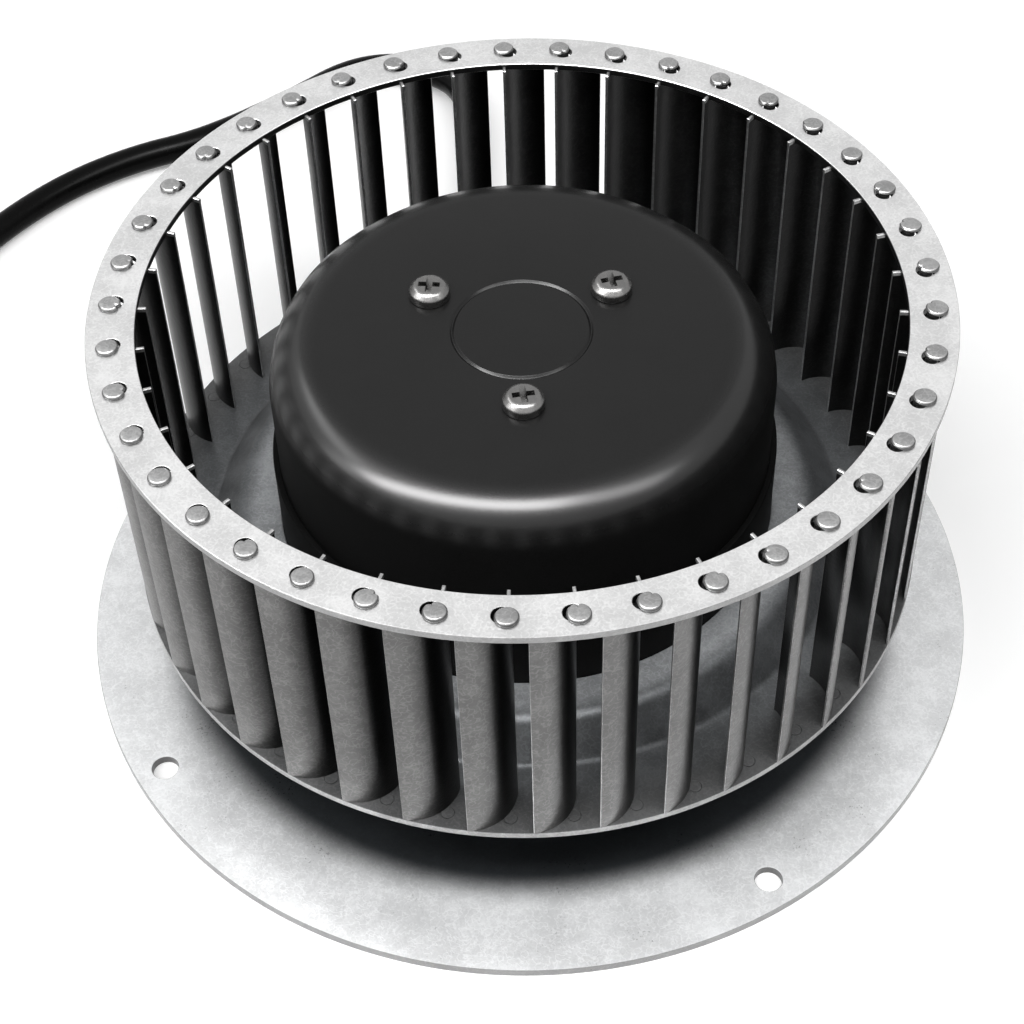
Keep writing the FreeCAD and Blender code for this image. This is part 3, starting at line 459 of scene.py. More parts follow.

# %% [markdown]
# Galvanised sheet is steel dipped in zinc. It is a metal, so its colour is the colour of what it
# reflects, dulled by a fine grain. Four noises are enough: broad smudges, the mottling of the
# zinc, thin winding lines and a sandy grain. Shade is painted into the colour: the walls of holes
# and bores, and the sheet where the wheel shades it, are painted darker, so each finish has
# colours that follow one another from the shaft outwards. The outer cut edge is a darker grey.

# %% Galvanised sheet
CUT_SKIN = 0.12 * MM
RIM_ZINC = grey(0.3)
SMUDGE, MOTTLE, WORM, SAND = 14 * MM, 3.2 * MM, 1.3 * MM, 0.45 * MM
TONE_RANGE = (0.33, 0.62)


def zinc_waves(place):
    """The smudges, the mottling, the winding lines and the sand."""
    return place.noise(SMUDGE, 5), place.noise(MOTTLE), place.worms(WORM), place.noise(SAND, 2)


def galvanised(name, first, steps=(), painted_shade_walls=None, rim=None,
               rough=0.28, contrast=0.16, grain=0.012, metallic=0.92):
    """Zinc-coated sheet: its colour at the shaft, then (from, to, colour) steps going outwards,
    which paint shade where the wheel shades the sheet. The walls are (low, high, colour): painted
    shade on the cut faces between two heights. Rim is the outer radius."""
    made, shader, place = start(name)
    smudge, mottle, worm, sand = zinc_waves(place)
    tone = (smudge * 0.4 + mottle * 0.25 + worm * 0.1 + sand * 0.25).ramp(*TONE_RANGE)
    height, radius = place.parts()[2:]
    colour = place.node("ShaderNodeRGB")
    colour.socket.default_value = first
    # Painted shade: each step sets a darker or lighter colour by distance from the shaft.
    for near, far, after in steps:
        colour = radius.ramp(near, far).blend(colour, after)
    # Painted shade: the cut faces between the two heights take the darker colour.
    if painted_shade_walls:
        low, high, cut = painted_shade_walls
        from_middle = place.maths("ABSOLUTE", height - (low + high) / 2)
        half = (high - low) / 2
        colour = from_middle.ramp(half - CUT_SKIN, half - CUT_SKIN / 4).blend(cut, colour)
    if rim:
        colour = radius.ramp(rim - CUT_SKIN, rim - CUT_SKIN / 4).blend(colour, RIM_ZINC)
    feed(shader, "Base Color", scaled(colour, tone * (2 * contrast) + (1 - contrast)))
    feed(shader, "Roughness", rough - 0.06 + smudge * 0.08 + sand * 0.08)
    shader.inputs["Metallic"].default_value = metallic
    feed_bump(shader, sand * 0.6 + worm * 0.4, grain * MM)
    return made


def scaled(colour, factor):
    """A colour made darker or lighter by a wave."""
    return colour.node("ShaderNodeVectorMath", {"operation": "SCALE"}, {0: colour, "Scale": factor})


print("sheet finish ready")

# %% [markdown]
# The mounting plate is the largest sheet. Four clearance holes lie near its edge, and four
# countersunk screws come up through it into the motor's flange.

# %% Mounting plate
PLATE_RADIUS = 92 * MM
PLATE_TOP = 2 * MM
PLATE_HOLES = (86 * MM, 31, 4, 2.65 * MM)
FOOT_SCREWS = (32 * MM, 45, 4)
SINK_BELOW = 4.1 * MM
SINK_ABOVE = 2.1 * MM
PUNCH_BEVEL = 0.15 * MM
SINK_BEVEL = 0.02 * MM
SHADED = 71 * MM
IN_LIGHT = 79.5 * MM
# Painted shadow: dark bluish grey under the wheel, light outside it; the hole walls carry painted
# shade.
plate_zinc = galvanised("plate_zinc", grey(0.035, 0.1), [(SHADED, IN_LIGHT, grey(0.75, 0.01))],
                        painted_shade_walls=(0, PLATE_TOP, grey(0.12)), rim=PLATE_RADIUS,
                        contrast=0.13, grain=0.02, metallic=0.35)


def add_plate():
    """The plate with its clearance holes and countersinks."""
    circles = [(0, 0, PLATE_RADIUS, PLATE_RADIUS, PUNCH_BEVEL)]
    *ring, hole = PLATE_HOLES
    circles += [(x, y, hole, hole, PUNCH_BEVEL) for x, y in spread_round(*ring)]
    for x, y in spread_round(*FOOT_SCREWS):
        circles.append((x, y, SINK_BELOW, SINK_ABOVE, SINK_BEVEL))
    mesh_data = bmesh.new()
    add_sheet(mesh_data, circles, 0, PLATE_TOP)
    piece = finish_mesh("plate_sheet", mesh_data, plate_zinc, "base")
    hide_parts("mounting_plate")
    return piece


print("plate faces", len(add_plate().data.polygons))

# %% [markdown]
# The wheel is held together by staking: each blade has a tab at both ends that passes through a
# hole in the sheet and is hammered over into a flat round head. The holes are wider than the tabs,
# so a dark crescent shows beside every head.

# %% Wheel sizes
WHEEL_TURN = 3.86
BLADES = 41
RING_RADIUS = 80 * MM
RING_BORE = 71 * MM
RING_TOP = 86 * MM
RING_THICK = 1.5 * MM
DISC_RADIUS = 78.7 * MM
DISC_LOW = 26 * MM
DISC_TOP = 27.5 * MM
TAB_CIRCLE = 76 * MM
HEEL_RADIUS = 69.4 * MM
BLADE_CURVE = 8.6 * MM
BLADE_LEAD = 0.1 * MM
BLADE_THICK = 0.6 * MM
HEAD_RADIUS = 2.1 * MM
HEAD_HEIGHT = 0.9 * MM
HEAD_BEVEL = 0.35 * MM
TAB_HOLE = 1.75 * MM
TAB_HOLE_SHIFT = 1.15 * MM
TAB_RADIUS = 1.2 * MM
TAB_SHIFT = 1 * MM
TIGHT_HOLE = 1.22 * MM
TAB_BEVEL = 0.1 * MM
blade_turns = [WHEEL_TURN + 360 * k / BLADES for k in range(BLADES)]
curve_middle = Vector((HEEL_RADIUS, BLADE_LEAD - BLADE_CURVE))
to_curve = (curve_middle - Vector((TAB_CIRCLE, 0))).normalized()


def wheel_place(spot, degrees):
    """A point drawn beside the X axis, turned to its blade."""
    angle = math.radians(degrees)
    c, s = math.cos(angle), math.sin(angle)
    return spot.x * c - spot.y * s, spot.x * s + spot.y * c


def tab_holes(shift, radius):
    """The circles of the holes for all tabs, the given way from the middle of their heads."""
    spot = Vector((TAB_CIRCLE, 0)) + to_curve * shift
    return [(*wheel_place(spot, turn), radius, radius, TAB_BEVEL) for turn in blade_turns]


print("blades", BLADES, "pitch", round(math.tau * TAB_CIRCLE / BLADES / MM, 2), "mm")

# %% Inlet ring
# Painted shade: the bore wall and the walls of the tab holes are near black.
ring_zinc = galvanised("ring_zinc", grey(0.65), painted_shade_walls=(RING_TOP - RING_THICK, RING_TOP, grey(0.04)),
                       rim=RING_RADIUS, contrast=0.13, rough=0.3)


def add_inlet_ring():
    """The flat ring round the air inlet, with a hole for every tab."""
    circles = [(0, 0, radius, radius, PUNCH_BEVEL) for radius in (RING_RADIUS, RING_BORE)]
    mesh_data = bmesh.new()
    holes = tab_holes(TAB_HOLE_SHIFT, TAB_HOLE)
    add_sheet(mesh_data, circles + holes, RING_TOP - RING_THICK, RING_TOP)
    piece = finish_mesh("ring_sheet", mesh_data, ring_zinc, "rotor")
    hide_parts("inlet_ring")
    return piece


print("ring faces", len(add_inlet_ring().data.polygons))

# %% [markdown]
# The back plate closes the drum from below. Its middle is pressed up into a shallow hub, which
# sits on the rotor's flange. The flat part is sheet with tab holes, the hub is turned, and both
# go into one mesh that meets on a circle in the flat.

# %% Back plate
HUB_BORE = 49.56 * MM
HUB_BEND = 64.02 * MM
HUB_EDGE = 57.72 * MM
HUB_LEAN = 0.635 * MM
HUB_LOW = 32.5 * MM
HUB_TOP = 34 * MM
BEND_INSIDE = 2 * MM
BEND_OUTSIDE = 3.5 * MM
HUB_SEAM = 66 * MM
# Painted shade: the hub is lightest, its slope darker, and the disc darkest under the blades and
# the ring.
disc_zinc = galvanised("disc_zinc", grey(0.3, 0.03), [
    (HUB_EDGE - 4 * MM, HUB_EDGE, grey(0.12, 0.04)),
    (HUB_BEND + 3 * MM, TAB_CIRCLE - 1 * MM, grey(0.075, 0.01)),
], rim=DISC_RADIUS, rough=0.44, contrast=0.24, metallic=0.6)


def add_back_plate():
    """Flat disc with tab holes round a turned hub."""
    mesh_data = bmesh.new()
    circles = [(0, 0, DISC_RADIUS, DISC_RADIUS, PUNCH_BEVEL), (0, 0, HUB_SEAM, HUB_SEAM, 0)]
    holes = tab_holes(TAB_SHIFT, TIGHT_HOLE)
    add_sheet(mesh_data, circles + holes, DISC_LOW, DISC_TOP)
    hub = rounded([
        (HUB_BORE, HUB_LOW, 0),
        (HUB_EDGE - HUB_LEAN, HUB_LOW, BEND_INSIDE),
        (HUB_BEND - HUB_LEAN, DISC_LOW, BEND_OUTSIDE),
        (HUB_SEAM, DISC_LOW, 0),
        (HUB_SEAM, DISC_TOP, 0),
        (HUB_BEND, DISC_TOP, BEND_INSIDE),
        (HUB_EDGE, HUB_TOP, BEND_OUTSIDE),
        (HUB_BORE, HUB_TOP, 0.2 * MM),
    ])
    sweep_round(mesh_data, hub, steps=circle_steps(HUB_SEAM))
    piece = finish_mesh("disc_sheet", mesh_data, disc_zinc, "rotor")
    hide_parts("back_plate")
    return piece


print("disc faces", len(add_back_plate().data.polygons))

# %% [markdown]
# A blade is a strip bent to a quarter of a circle. Its inner edge points at the shaft and its
# outer edge lies along the drum. The sheared edges get a chamfer of their own, and the finish
# paints them bright, a painted highlight, and paints shade on the faces.

# %% Blade finish
# Painted light and shade for the blades: the sheared edges, then the outer and inner faces.
EDGE_PAINTED_HIGHLIGHT = grey(0.4)
OUTER_PAINTED_LIGHT = grey(0.145, -0.01)
OUTER_PAINTED_SHADE = grey(0.01)
INNER_PAINTED_LIGHT = grey(0.07)
INNER_PAINTED_SHADE = grey(0.012)


def blade_zinc():
    """Strip with painted light and shade: lighter outside and near its outer edge, darker
    towards the heel and inside, and a painted highlight where it was sheared.
    """
    made, shader, place = start("blade_zinc")
    x, y, height, radius = place.parts()
    pitch = math.tau / BLADES
    margin = 0.01
    around = place.maths("ARCTAN2", y, x) - (math.radians(WHEEL_TURN) + margin)
    folded = place.maths("FLOORED_MODULO", around, pitch) - (pitch - margin)
    ahead = radius * place.maths("COSINE", folded)
    aside = radius * place.maths("SINE", folded)
    dx, dy = ahead - curve_middle.x, aside - curve_middle.y
    reach = place.maths("SQRT", dx * dx + dy * dy)
    # Painted shade: the outer face darkens from its outer edge to the heel; the inner face is dark
    # but for a lighter middle band.
    heel_shade = dy.ramp(BLADE_CURVE * 0.3, BLADE_CURVE * 0.85)
    middle = (dy.ramp(BLADE_CURVE * 0.1, BLADE_CURVE * 0.5)
              - dy.ramp(BLADE_CURVE * 0.5, BLADE_CURVE * 0.9))
    outside = heel_shade.blend(OUTER_PAINTED_LIGHT, OUTER_PAINTED_SHADE)
    inside = middle.blend(INNER_PAINTED_SHADE, INNER_PAINTED_LIGHT)
    colour = reach.ramp(BLADE_CURVE - 0.1 * MM, BLADE_CURVE + 0.1 * MM).blend(inside, outside)
    # Painted highlight: the sheared edges and the nibs above the blades' tops are painted bright.
    colour = radius.ramp(HEEL_RADIUS + 0.03 * MM, HEEL_RADIUS + 0.12 * MM).blend(EDGE_PAINTED_HIGHLIGHT, colour)
    colour = dy.ramp(-0.01 * MM, 0.08 * MM).blend(EDGE_PAINTED_HIGHLIGHT, colour)
    under_ring = RING_TOP - RING_THICK
    colour = height.ramp(under_ring, under_ring + 0.1 * MM).blend(colour, EDGE_PAINTED_HIGHLIGHT)
    smudge, mottle, worm, sand = zinc_waves(place)
    tone = (smudge * 0.3 + mottle * 0.3 + worm * 0.15 + sand * 0.25).ramp(*TONE_RANGE)
    feed(shader, "Base Color", scaled(colour, tone * 0.44 + 0.78))
    feed(shader, "Roughness", 0.28 + sand * 0.1)
    shader.inputs["Metallic"].default_value = 0.92
    feed_bump(shader, sand * 0.6 + worm * 0.4, 0.02 * MM)
    return made


print("blade finish ready")

# %% Blades
ARC_STEPS = 14
EDGE_CHAMFER = 0.12 * MM
NIB_HEIGHT = 0.9 * MM
NIB_LENGTH = 1.58 * MM


def blade_section():
    """The blade in plan: outer side from tip to heel, then the inner side back."""
    sides = []
    for side in (0.5, -0.5):
        reach = BLADE_CURVE + side * BLADE_THICK
        edge = EDGE_CHAMFER / reach
        inset = reach - math.copysign(EDGE_CHAMFER, side)
        sweep = math.pi / 2 - 2 * edge
        turns = [edge + sweep * step / ARC_STEPS for step in range(ARC_STEPS + 1)]
        points = [curve_middle + Vector((math.cos(a), math.sin(a))) * reach for a in turns]
        first = curve_middle + Vector((inset, 0))
        last = curve_middle + Vector((0, inset))
        sides.append([first, *points, last])
    return sides[0] + sides[1][::-1]


def add_nib(mesh_data, turn):
    """The corner of a blade that stands up inside the ring's bore."""
    low, high = RING_TOP - RING_THICK, RING_TOP - RING_THICK + NIB_HEIGHT
    half = BLADE_THICK / 2
    levels = []
    for z, inset in ((low, 0), (high - EDGE_CHAMFER, 0), (high, EDGE_CHAMFER)):
        ends = (HEEL_RADIUS + inset, HEEL_RADIUS + NIB_LENGTH - inset)
        sides = (BLADE_LEAD - half + inset, BLADE_LEAD + half - inset)
        level = []
        for along, across in ((0, 0), (1, 0), (1, 1), (0, 1)):
            x, y = wheel_place(Vector((ends[along], sides[across])), turn)
            level.append(mesh_data.verts.new((x, y, z)))
        levels.append(level)
    for lower, upper in zip(levels, levels[1:]):
        skin(mesh_data, lower, upper)
    mesh_data.faces.new(levels[0])
    mesh_data.faces.new(levels[-1])


def add_blades():
    """All the strips, with their top and bottom edges and their nibs."""
    section = blade_section()
    mesh_data = bmesh.new()
    for turn in blade_turns:
        low, high = [], []
        for spot in section:
            x, y = wheel_place(spot, turn)
            low.append(mesh_data.verts.new((x, y, DISC_TOP)))
            high.append(mesh_data.verts.new((x, y, RING_TOP - RING_THICK)))
        skin(mesh_data, low, high)
        count = len(section)
        for level in (low, high):
            for k in range(count // 2 - 1):
                across = count - 1 - k
                mesh_data.faces.new((level[k], level[k + 1], level[across - 1], level[across]))
        add_nib(mesh_data, turn)
    piece = finish_mesh("blade_strips", mesh_data, blade_zinc(), "rotor", smooth_degrees=30)
    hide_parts("blades")
    return piece


print("blade faces", len(add_blades().data.polygons))

# %% [markdown]
# The staked heads are nearly flat buttons with a bevelled rim and a slight crown. No two are struck
# quite alike, so each is turned and tipped a little at random, always the same way for one seed.
# Their sides carry painted shade, a darker colour than their tops, which draws a dark line round
# each.

# %% Staked heads
HEAD_STEPS = 36
HEAD_CROWN = 0.12 * MM
HEAD_UNDERCUT = 0.2 * MM
NICK_WIDTH = math.radians(15)
NICK_FROM, NICK_IN, NICK_DOWN = 0.45, 0.3, 0.75
NICKED_SHARE = 0.7
HEAD_TIP = 1.2
HEAD_SPIN = 0.9
HEAD_SQUASH = 0.96
PAINTED_SHADE_TOP = 0.72 * MM
# Painted shade: the sides and lower bevel of each head above the ring are darker.
head_zinc = galvanised("head_zinc", grey(0.3),
                       painted_shade_walls=(RING_TOP - HEAD_HEIGHT, RING_TOP + PAINTED_SHADE_TOP, grey(0.1)),
                       contrast=0.2, rough=0.34, grain=0.004)
random.seed(7)


def nicked(point, angle):
    """Dents the rim of a head at angle 0, where its tab was sheared."""
    near = max(0, 1 - abs(math.remainder(angle, math.tau)) / NICK_WIDTH)
    deep = near * max(0, point.x / HEAD_RADIUS - NICK_FROM)
    return Vector((point.x * (1 - NICK_IN * deep), point.y * (1 - NICK_DOWN * deep)))


def add_heads():
    """A head above the ring and below the disc for every blade, and the tab between them."""
    crown = HEAD_HEIGHT - HEAD_CROWN
    outline = rounded([
        (0, 0, 0),
        (HEAD_RADIUS - HEAD_UNDERCUT, 0, 0),
        (HEAD_RADIUS, HEAD_UNDERCUT, 0.05 * MM),
        (HEAD_RADIUS, crown - HEAD_BEVEL, 0.1 * MM),
        (HEAD_RADIUS - HEAD_BEVEL, crown, 0.15 * MM),
        (HEAD_RADIUS * 0.5, HEAD_HEIGHT - HEAD_CROWN * 0.2, 0.3 * MM),
        (0, HEAD_HEIGHT, 0),
    ], steps=3)
    tab = [Vector(spot) for spot in
           ((0, 0), (TAB_RADIUS, 0), (TAB_RADIUS, RING_THICK), (0, RING_THICK))]
    deep_tab = [Vector((p.x, p.y * (DISC_TOP - DISC_LOW) / RING_THICK)) for p in tab]
    tab_spot = Vector((TAB_CIRCLE, 0)) + to_curve * TAB_SHIFT
    mesh_data = bmesh.new()
    foot_data = bmesh.new()
    for turn in blade_turns:
        for z, flip in ((RING_TOP, 1), (DISC_LOW, -1)):
            x, y = wheel_place(Vector((TAB_CIRCLE, 0)), turn)
            tip = math.radians(random.uniform(-HEAD_TIP, HEAD_TIP))
            stretch = Matrix.Diagonal((1, random.uniform(HEAD_SQUASH, 1), flip, 1))
            spin = math.radians(turn) + math.pi + random.uniform(-HEAD_SPIN, HEAD_SPIN)
            move = Matrix.Translation((x, y, z)) @ Matrix.Rotation(tip, 4, "X")
            move = move @ Matrix.Rotation(spin, 4, "Z") @ stretch
            dent = nicked if random.random() < NICKED_SHARE else None
            sweep_round(mesh_data, outline, move, HEAD_STEPS, dent)
        x, y = wheel_place(tab_spot, turn)
        sweep_round(mesh_data, tab, Matrix.Translation((x, y, RING_TOP - RING_THICK)), HEAD_STEPS)
        sweep_round(foot_data, deep_tab, Matrix.Translation((x, y, DISC_LOW)), HEAD_STEPS)
    piece = finish_mesh("staked_heads", mesh_data, head_zinc, "rotor", smooth_degrees=25)
    feet = finish_mesh("blade_feet", foot_data, disc_zinc, "rotor")
    for made in (piece, feet):
        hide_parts("blades")
    return piece


print("head faces", len(add_heads().data.polygons))

# %% [markdown]
# The rotor is a deep-drawn steel cup with a black coat. The coat is semi-matt with a fine grain,
# which spreads the highlight on the rounded shoulder, where the coat is glossiest.

# %% Rotor finish
GLOSS_STARTS = (69.5 * MM, 74 * MM)
GLOSS_FALLS = (77 * MM, 77.9 * MM)
SHOULDER_GLOSS = 0.8
END_GLOSS = 0.4


def rotor_black():
    """Black stoved coat with a fine grain, glossiest on the shoulder and dull down the side."""
    made, shader, place = start("rotor_black")
    speck = place.noise(0.35 * MM, 2)
    patch = place.noise(9 * MM, 3)
    height = place.parts()[2]
    feed(shader, "Base Color", (speck * 0.7 + patch * 0.3).blend(grey(0.001), grey(0.008)))
    feed(shader, "Roughness", 0.5 + patch * 0.1)
    gloss = height.ramp(*GLOSS_STARTS) * SHOULDER_GLOSS
    feed(shader, "Coat Weight", gloss - height.ramp(*GLOSS_FALLS) * (SHOULDER_GLOSS - END_GLOSS))
    shader.inputs["Coat Roughness"].default_value = 0.26
    shader.inputs["Specular IOR Level"].default_value = 0.03
    feed_bump(shader, speck, 0.02 * MM)
    return made


rotor_coat = rotor_black()

# %% Rotor can and sleeve
CAN_RADIUS = 48.3 * MM
CAN_TOP = 78 * MM
CAN_WALL = 1.5 * MM
CAN_RIM = 31 * MM
CAN_SHOULDER = 10 * MM
GROOVE_RADIUS = 13.1 * MM
GROOVE_HALF = 0.5 * MM
GROOVE_DEPTH = 0.48 * MM
SLEEVE_BORE = 48.32 * MM
SLEEVE_RADIUS = 49.52 * MM
SLEEVE_TOP = 50.5 * MM
SLEEVE_FLANGE = 55.97 * MM


def add_can():
    """The cup, hollow inside, with the pressed ring on its end."""
    bore = CAN_RADIUS - CAN_WALL
    piece = turned("can_cup", [
        (0, CAN_TOP - CAN_WALL, 0),
        (bore, CAN_TOP - CAN_WALL, CAN_SHOULDER - CAN_WALL),
        (bore, CAN_RIM, 0),
        (CAN_RADIUS, CAN_RIM, 0.3 * MM),
        (CAN_RADIUS, CAN_TOP, CAN_SHOULDER),
        (GROOVE_RADIUS + GROOVE_HALF, CAN_TOP, 0.2 * MM),
        (GROOVE_RADIUS, CAN_TOP - GROOVE_DEPTH, 0.15 * MM),
        (GROOVE_RADIUS - GROOVE_HALF, CAN_TOP, 0.2 * MM),
        (0, CAN_TOP, 0),
    ], rotor_coat, "rotor")
    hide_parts("rotor_can")
    return piece


def add_sleeve():
    """The flanged sleeve pressed over the cup's rim."""
    piece = turned("can_sleeve", [
        (SLEEVE_BORE, CAN_RIM, 0),
        (SLEEVE_FLANGE, CAN_RIM, 0.2 * MM),
        (SLEEVE_FLANGE, HUB_LOW, 0.2 * MM),
        (SLEEVE_RADIUS, HUB_LOW, 0),
        (SLEEVE_RADIUS, SLEEVE_TOP, 0.3 * MM),
        (SLEEVE_BORE, SLEEVE_TOP, 0.1 * MM),
    ], rotor_coat, "rotor")
    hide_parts("rotor_sleeve")
    return piece


print("can faces", len(add_can().data.polygons), "sleeve faces", len(add_sleeve().data.polygons))

# %% [markdown]
# Three pan-head screws hold the cup to its hub inside. Their heads are low domes with a cross
# recess that narrows as it goes down. The recess is cut by a tapered cross with a Boolean.

# %% Screws
SCREW_CIRCLE = 20 * MM
SCREW_ANGLES = (-90, 30, 150)
SCREW_HEAD = 4 * MM
SCREW_HEIGHT = 2.8 * MM
SCREW_SHANK = 2 * MM
SCREW_FOOT = 72.5 * MM
RECESS_REACH = 2 * MM
RECESS_WIDTH = 1.2 * MM
RECESS_DEPTH = 1.9 * MM
RECESS_TAPER = 0.45
SCREW_TURNS = (8, 12, -6)
SCREW_STEPS = 64
SCREW_SMOOTH = 32


# Plated steel with the soft scratches of handling.
satin_steel = plain_finish("satin_steel", grey(0.13), grey(0.22, -0.02), (1.5 * MM, 4), (0.2, 0.14),
                           metallic=1, bump=(0.5 * MM, 3, 0.01 * MM))


def cross_outline(reach, half):
    """The twelve corners of a cross."""
    corners = []
    for quarter in range(4):
        turn = Matrix.Rotation(math.pi / 2 * quarter, 2)
        for spot in ((reach, -half), (reach, half), (half, half)):
            corners.append(turn @ Vector(spot))
    return corners


def cross_cutter():
    """A tapered cross, wide above the head and narrow at the bottom of the recess."""
    mesh_data = bmesh.new()
    levels = ((1.1, SCREW_HEIGHT * 1.05), (RECESS_TAPER, SCREW_HEIGHT - RECESS_DEPTH))
    loops = []
    for share, z in levels:
        outline = cross_outline(RECESS_REACH * share, RECESS_WIDTH / 2 * (0.5 + share / 2))
        loops.append([mesh_data.verts.new((p.x, p.y, z)) for p in outline])
    skin(mesh_data, *loops)
    mesh_data.faces.new(loops[0])
    mesh_data.faces.new(loops[1])
    return to_mesh("cross_cutter", mesh_data)


def screw_mesh(material):
    """One screw, head down to the end of its shank, with its recess cut."""
    foot = SCREW_FOOT - CAN_TOP
    mesh_data = bmesh.new()
    sweep_round(mesh_data, rounded([
        (0, foot, 0),
        (SCREW_SHANK, foot, 0),
        (SCREW_SHANK, 0, 0),
        (SCREW_HEAD, 0, 0.25 * MM),
        (SCREW_HEAD * 0.98, SCREW_HEIGHT * 0.55, 0.8 * MM),
        (SCREW_HEAD * 0.7, SCREW_HEIGHT * 0.97, 1.6 * MM),
        (0, SCREW_HEIGHT, 0),
    ], steps=8), steps=SCREW_STEPS)
    blank = bpy.data.objects.new("screw_blank", to_mesh("screw_blank", mesh_data))
    cutter = bpy.data.objects.new("cross_cutter", cross_cutter())
    for thing in (blank, cutter):
        bpy.context.collection.objects.link(thing)
    cut = blank.modifiers.new("recess", "BOOLEAN")
    cut.object, cut.operation, cut.solver = cutter, "DIFFERENCE", "EXACT"
    bpy.context.view_layer.update()
    solved = blank.evaluated_get(bpy.context.evaluated_depsgraph_get())
    done = bpy.data.meshes.new_from_object(solved)
    for thing in (blank, cutter):
        bpy.data.objects.remove(thing)
    done.shade_smooth()
    done.set_sharp_from_angle(angle=math.radians(SCREW_SMOOTH))
    done.materials.clear()
    done.materials.append(material)
    return done


def add_screws():
    """Three screws, each tightened to a turn of its own."""
    mesh = screw_mesh(satin_steel)
    for number, (degrees, turn) in enumerate(zip(SCREW_ANGLES, SCREW_TURNS), start=1):
        piece = bpy.data.objects.new(f"screw_{number}", mesh)
        bpy.context.collection.objects.link(piece)
        x, y = polar(SCREW_CIRCLE, degrees)
        spin = Matrix.Rotation(math.radians(turn), 4, "Z")
        piece.matrix_world = Matrix.Translation((x, y, CAN_TOP)) @ spin
        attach(piece, "rotor")
        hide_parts("rotor_screws")
    return len(mesh.polygons)


print("screw faces", add_screws())

# %% [markdown]
# Six rivets join hub and rotor flange. Their heads are low domes above and upset rims below.

# %% Hub rivets
RIVET_CIRCLE = 53.42 * MM
RIVET_HEAD = 2.6 * MM
RIVET_HEIGHT = 1.4 * MM
RIVET_SHANK = 1.6 * MM
RIVETS = 6
RIVET_TURN = 30
RIVET_STEPS = 40


def add_rivets():
    """The rivets, from the upset rim below to the dome above."""
    outline = rounded([
        (0, CAN_RIM - RIVET_HEIGHT / 2, 0),
        (RIVET_HEAD * 0.9, CAN_RIM - RIVET_HEIGHT / 2, 0.3 * MM),
        (RIVET_HEAD * 0.9, CAN_RIM, 0),
        (RIVET_SHANK, CAN_RIM, 0),
        (RIVET_SHANK, HUB_TOP, 0),
        (RIVET_HEAD, HUB_TOP, 0),
        (RIVET_HEAD, HUB_TOP + RIVET_HEIGHT, 1.25 * MM),
        (0, HUB_TOP + RIVET_HEIGHT, 0),
    ])
    mesh_data = bmesh.new()
    for x, y in spread_round(RIVET_CIRCLE, WHEEL_TURN + RIVET_TURN, RIVETS):
        sweep_round(mesh_data, outline, Matrix.Translation((x, y, 0)), RIVET_STEPS)
    piece = finish_mesh("rivet_heads", mesh_data, head_zinc, "rotor")
    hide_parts("hub_rivets")
    return piece


print("rivet faces", len(add_rivets().data.polygons))

# %% [markdown]
# Under the wheel stands the cast foot of the motor, a plain aluminium drum. Castings are matt and
# slightly pebbled. Only its drum is seen, from the side, so its bearing tube inside stays plain.

# %% Motor flange
FLANGE_RADIUS = 44 * MM
FLANGE_WALL = 40 * MM
FLANGE_BORE = 37 * MM
FLANGE_FOOT = 6 * MM
FLANGE_CEILING = 24 * MM
FLANGE_TOP = 27 * MM
TUBE_RADIUS = 13 * MM
TUBE_TOP = 70 * MM
TUBE_BORE = 9.4 * MM
BEARING_RADIUS = 11 * MM
UPPER_SEAT = 61.5 * MM
LOWER_SEAT = 16 * MM
FLANGE_HUB = 15 * MM


def cast_metal():
    """Sand-grey casting, matt and pebbled."""
    made, shader, place = start("cast_metal")
    pebble = place.noise(0.9 * MM, 3)
    patch = place.noise(12 * MM, 3)
    shader.inputs["Metallic"].default_value = 0.8
    feed(shader, "Base Color", patch.blend(grey(0.36, 0.02), grey(0.5, 0.01)))
    feed(shader, "Roughness", 0.5 + pebble * 0.15)
    feed_bump(shader, pebble, 0.00006)
    return made


def add_flange():
    """Foot, drum, top and bearing tube in one casting."""
    piece = turned("flange_casting", [
        (BEARING_RADIUS, PLATE_TOP, 0),
        (FLANGE_HUB, PLATE_TOP, 0),
        (FLANGE_HUB, FLANGE_CEILING, 0.5 * MM),
        (FLANGE_BORE, FLANGE_CEILING, 0.5 * MM),
        (FLANGE_BORE, PLATE_TOP, 0),
        (FLANGE_RADIUS, PLATE_TOP, 0),
        (FLANGE_RADIUS, FLANGE_FOOT, 0.8 * MM),
        (FLANGE_WALL, FLANGE_FOOT, 1.2 * MM),
        (FLANGE_WALL, FLANGE_CEILING, 0.8 * MM),
        (FLANGE_RADIUS, FLANGE_CEILING, 0.5 * MM),
        (FLANGE_RADIUS, FLANGE_TOP, 0.5 * MM),
        (TUBE_RADIUS, FLANGE_TOP, 0.5 * MM),
        (TUBE_RADIUS, TUBE_TOP, 0.3 * MM),
        (BEARING_RADIUS, TUBE_TOP, 0),
        (BEARING_RADIUS, UPPER_SEAT, 0),
        (TUBE_BORE, UPPER_SEAT, 0),
        (TUBE_BORE, LOWER_SEAT, 0),
        (BEARING_RADIUS, LOWER_SEAT, 0),
    ], cast_metal(), "base")
    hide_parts("motor_flange")
    return piece


print("flange faces", len(add_flange().data.polygons))

# %% [markdown]
# The grommet is soft rubber: a lip on each side of the casting's wall and a tapered sleeve that
# keeps the cable from kinking. Ribs round the sleeve let it bend.

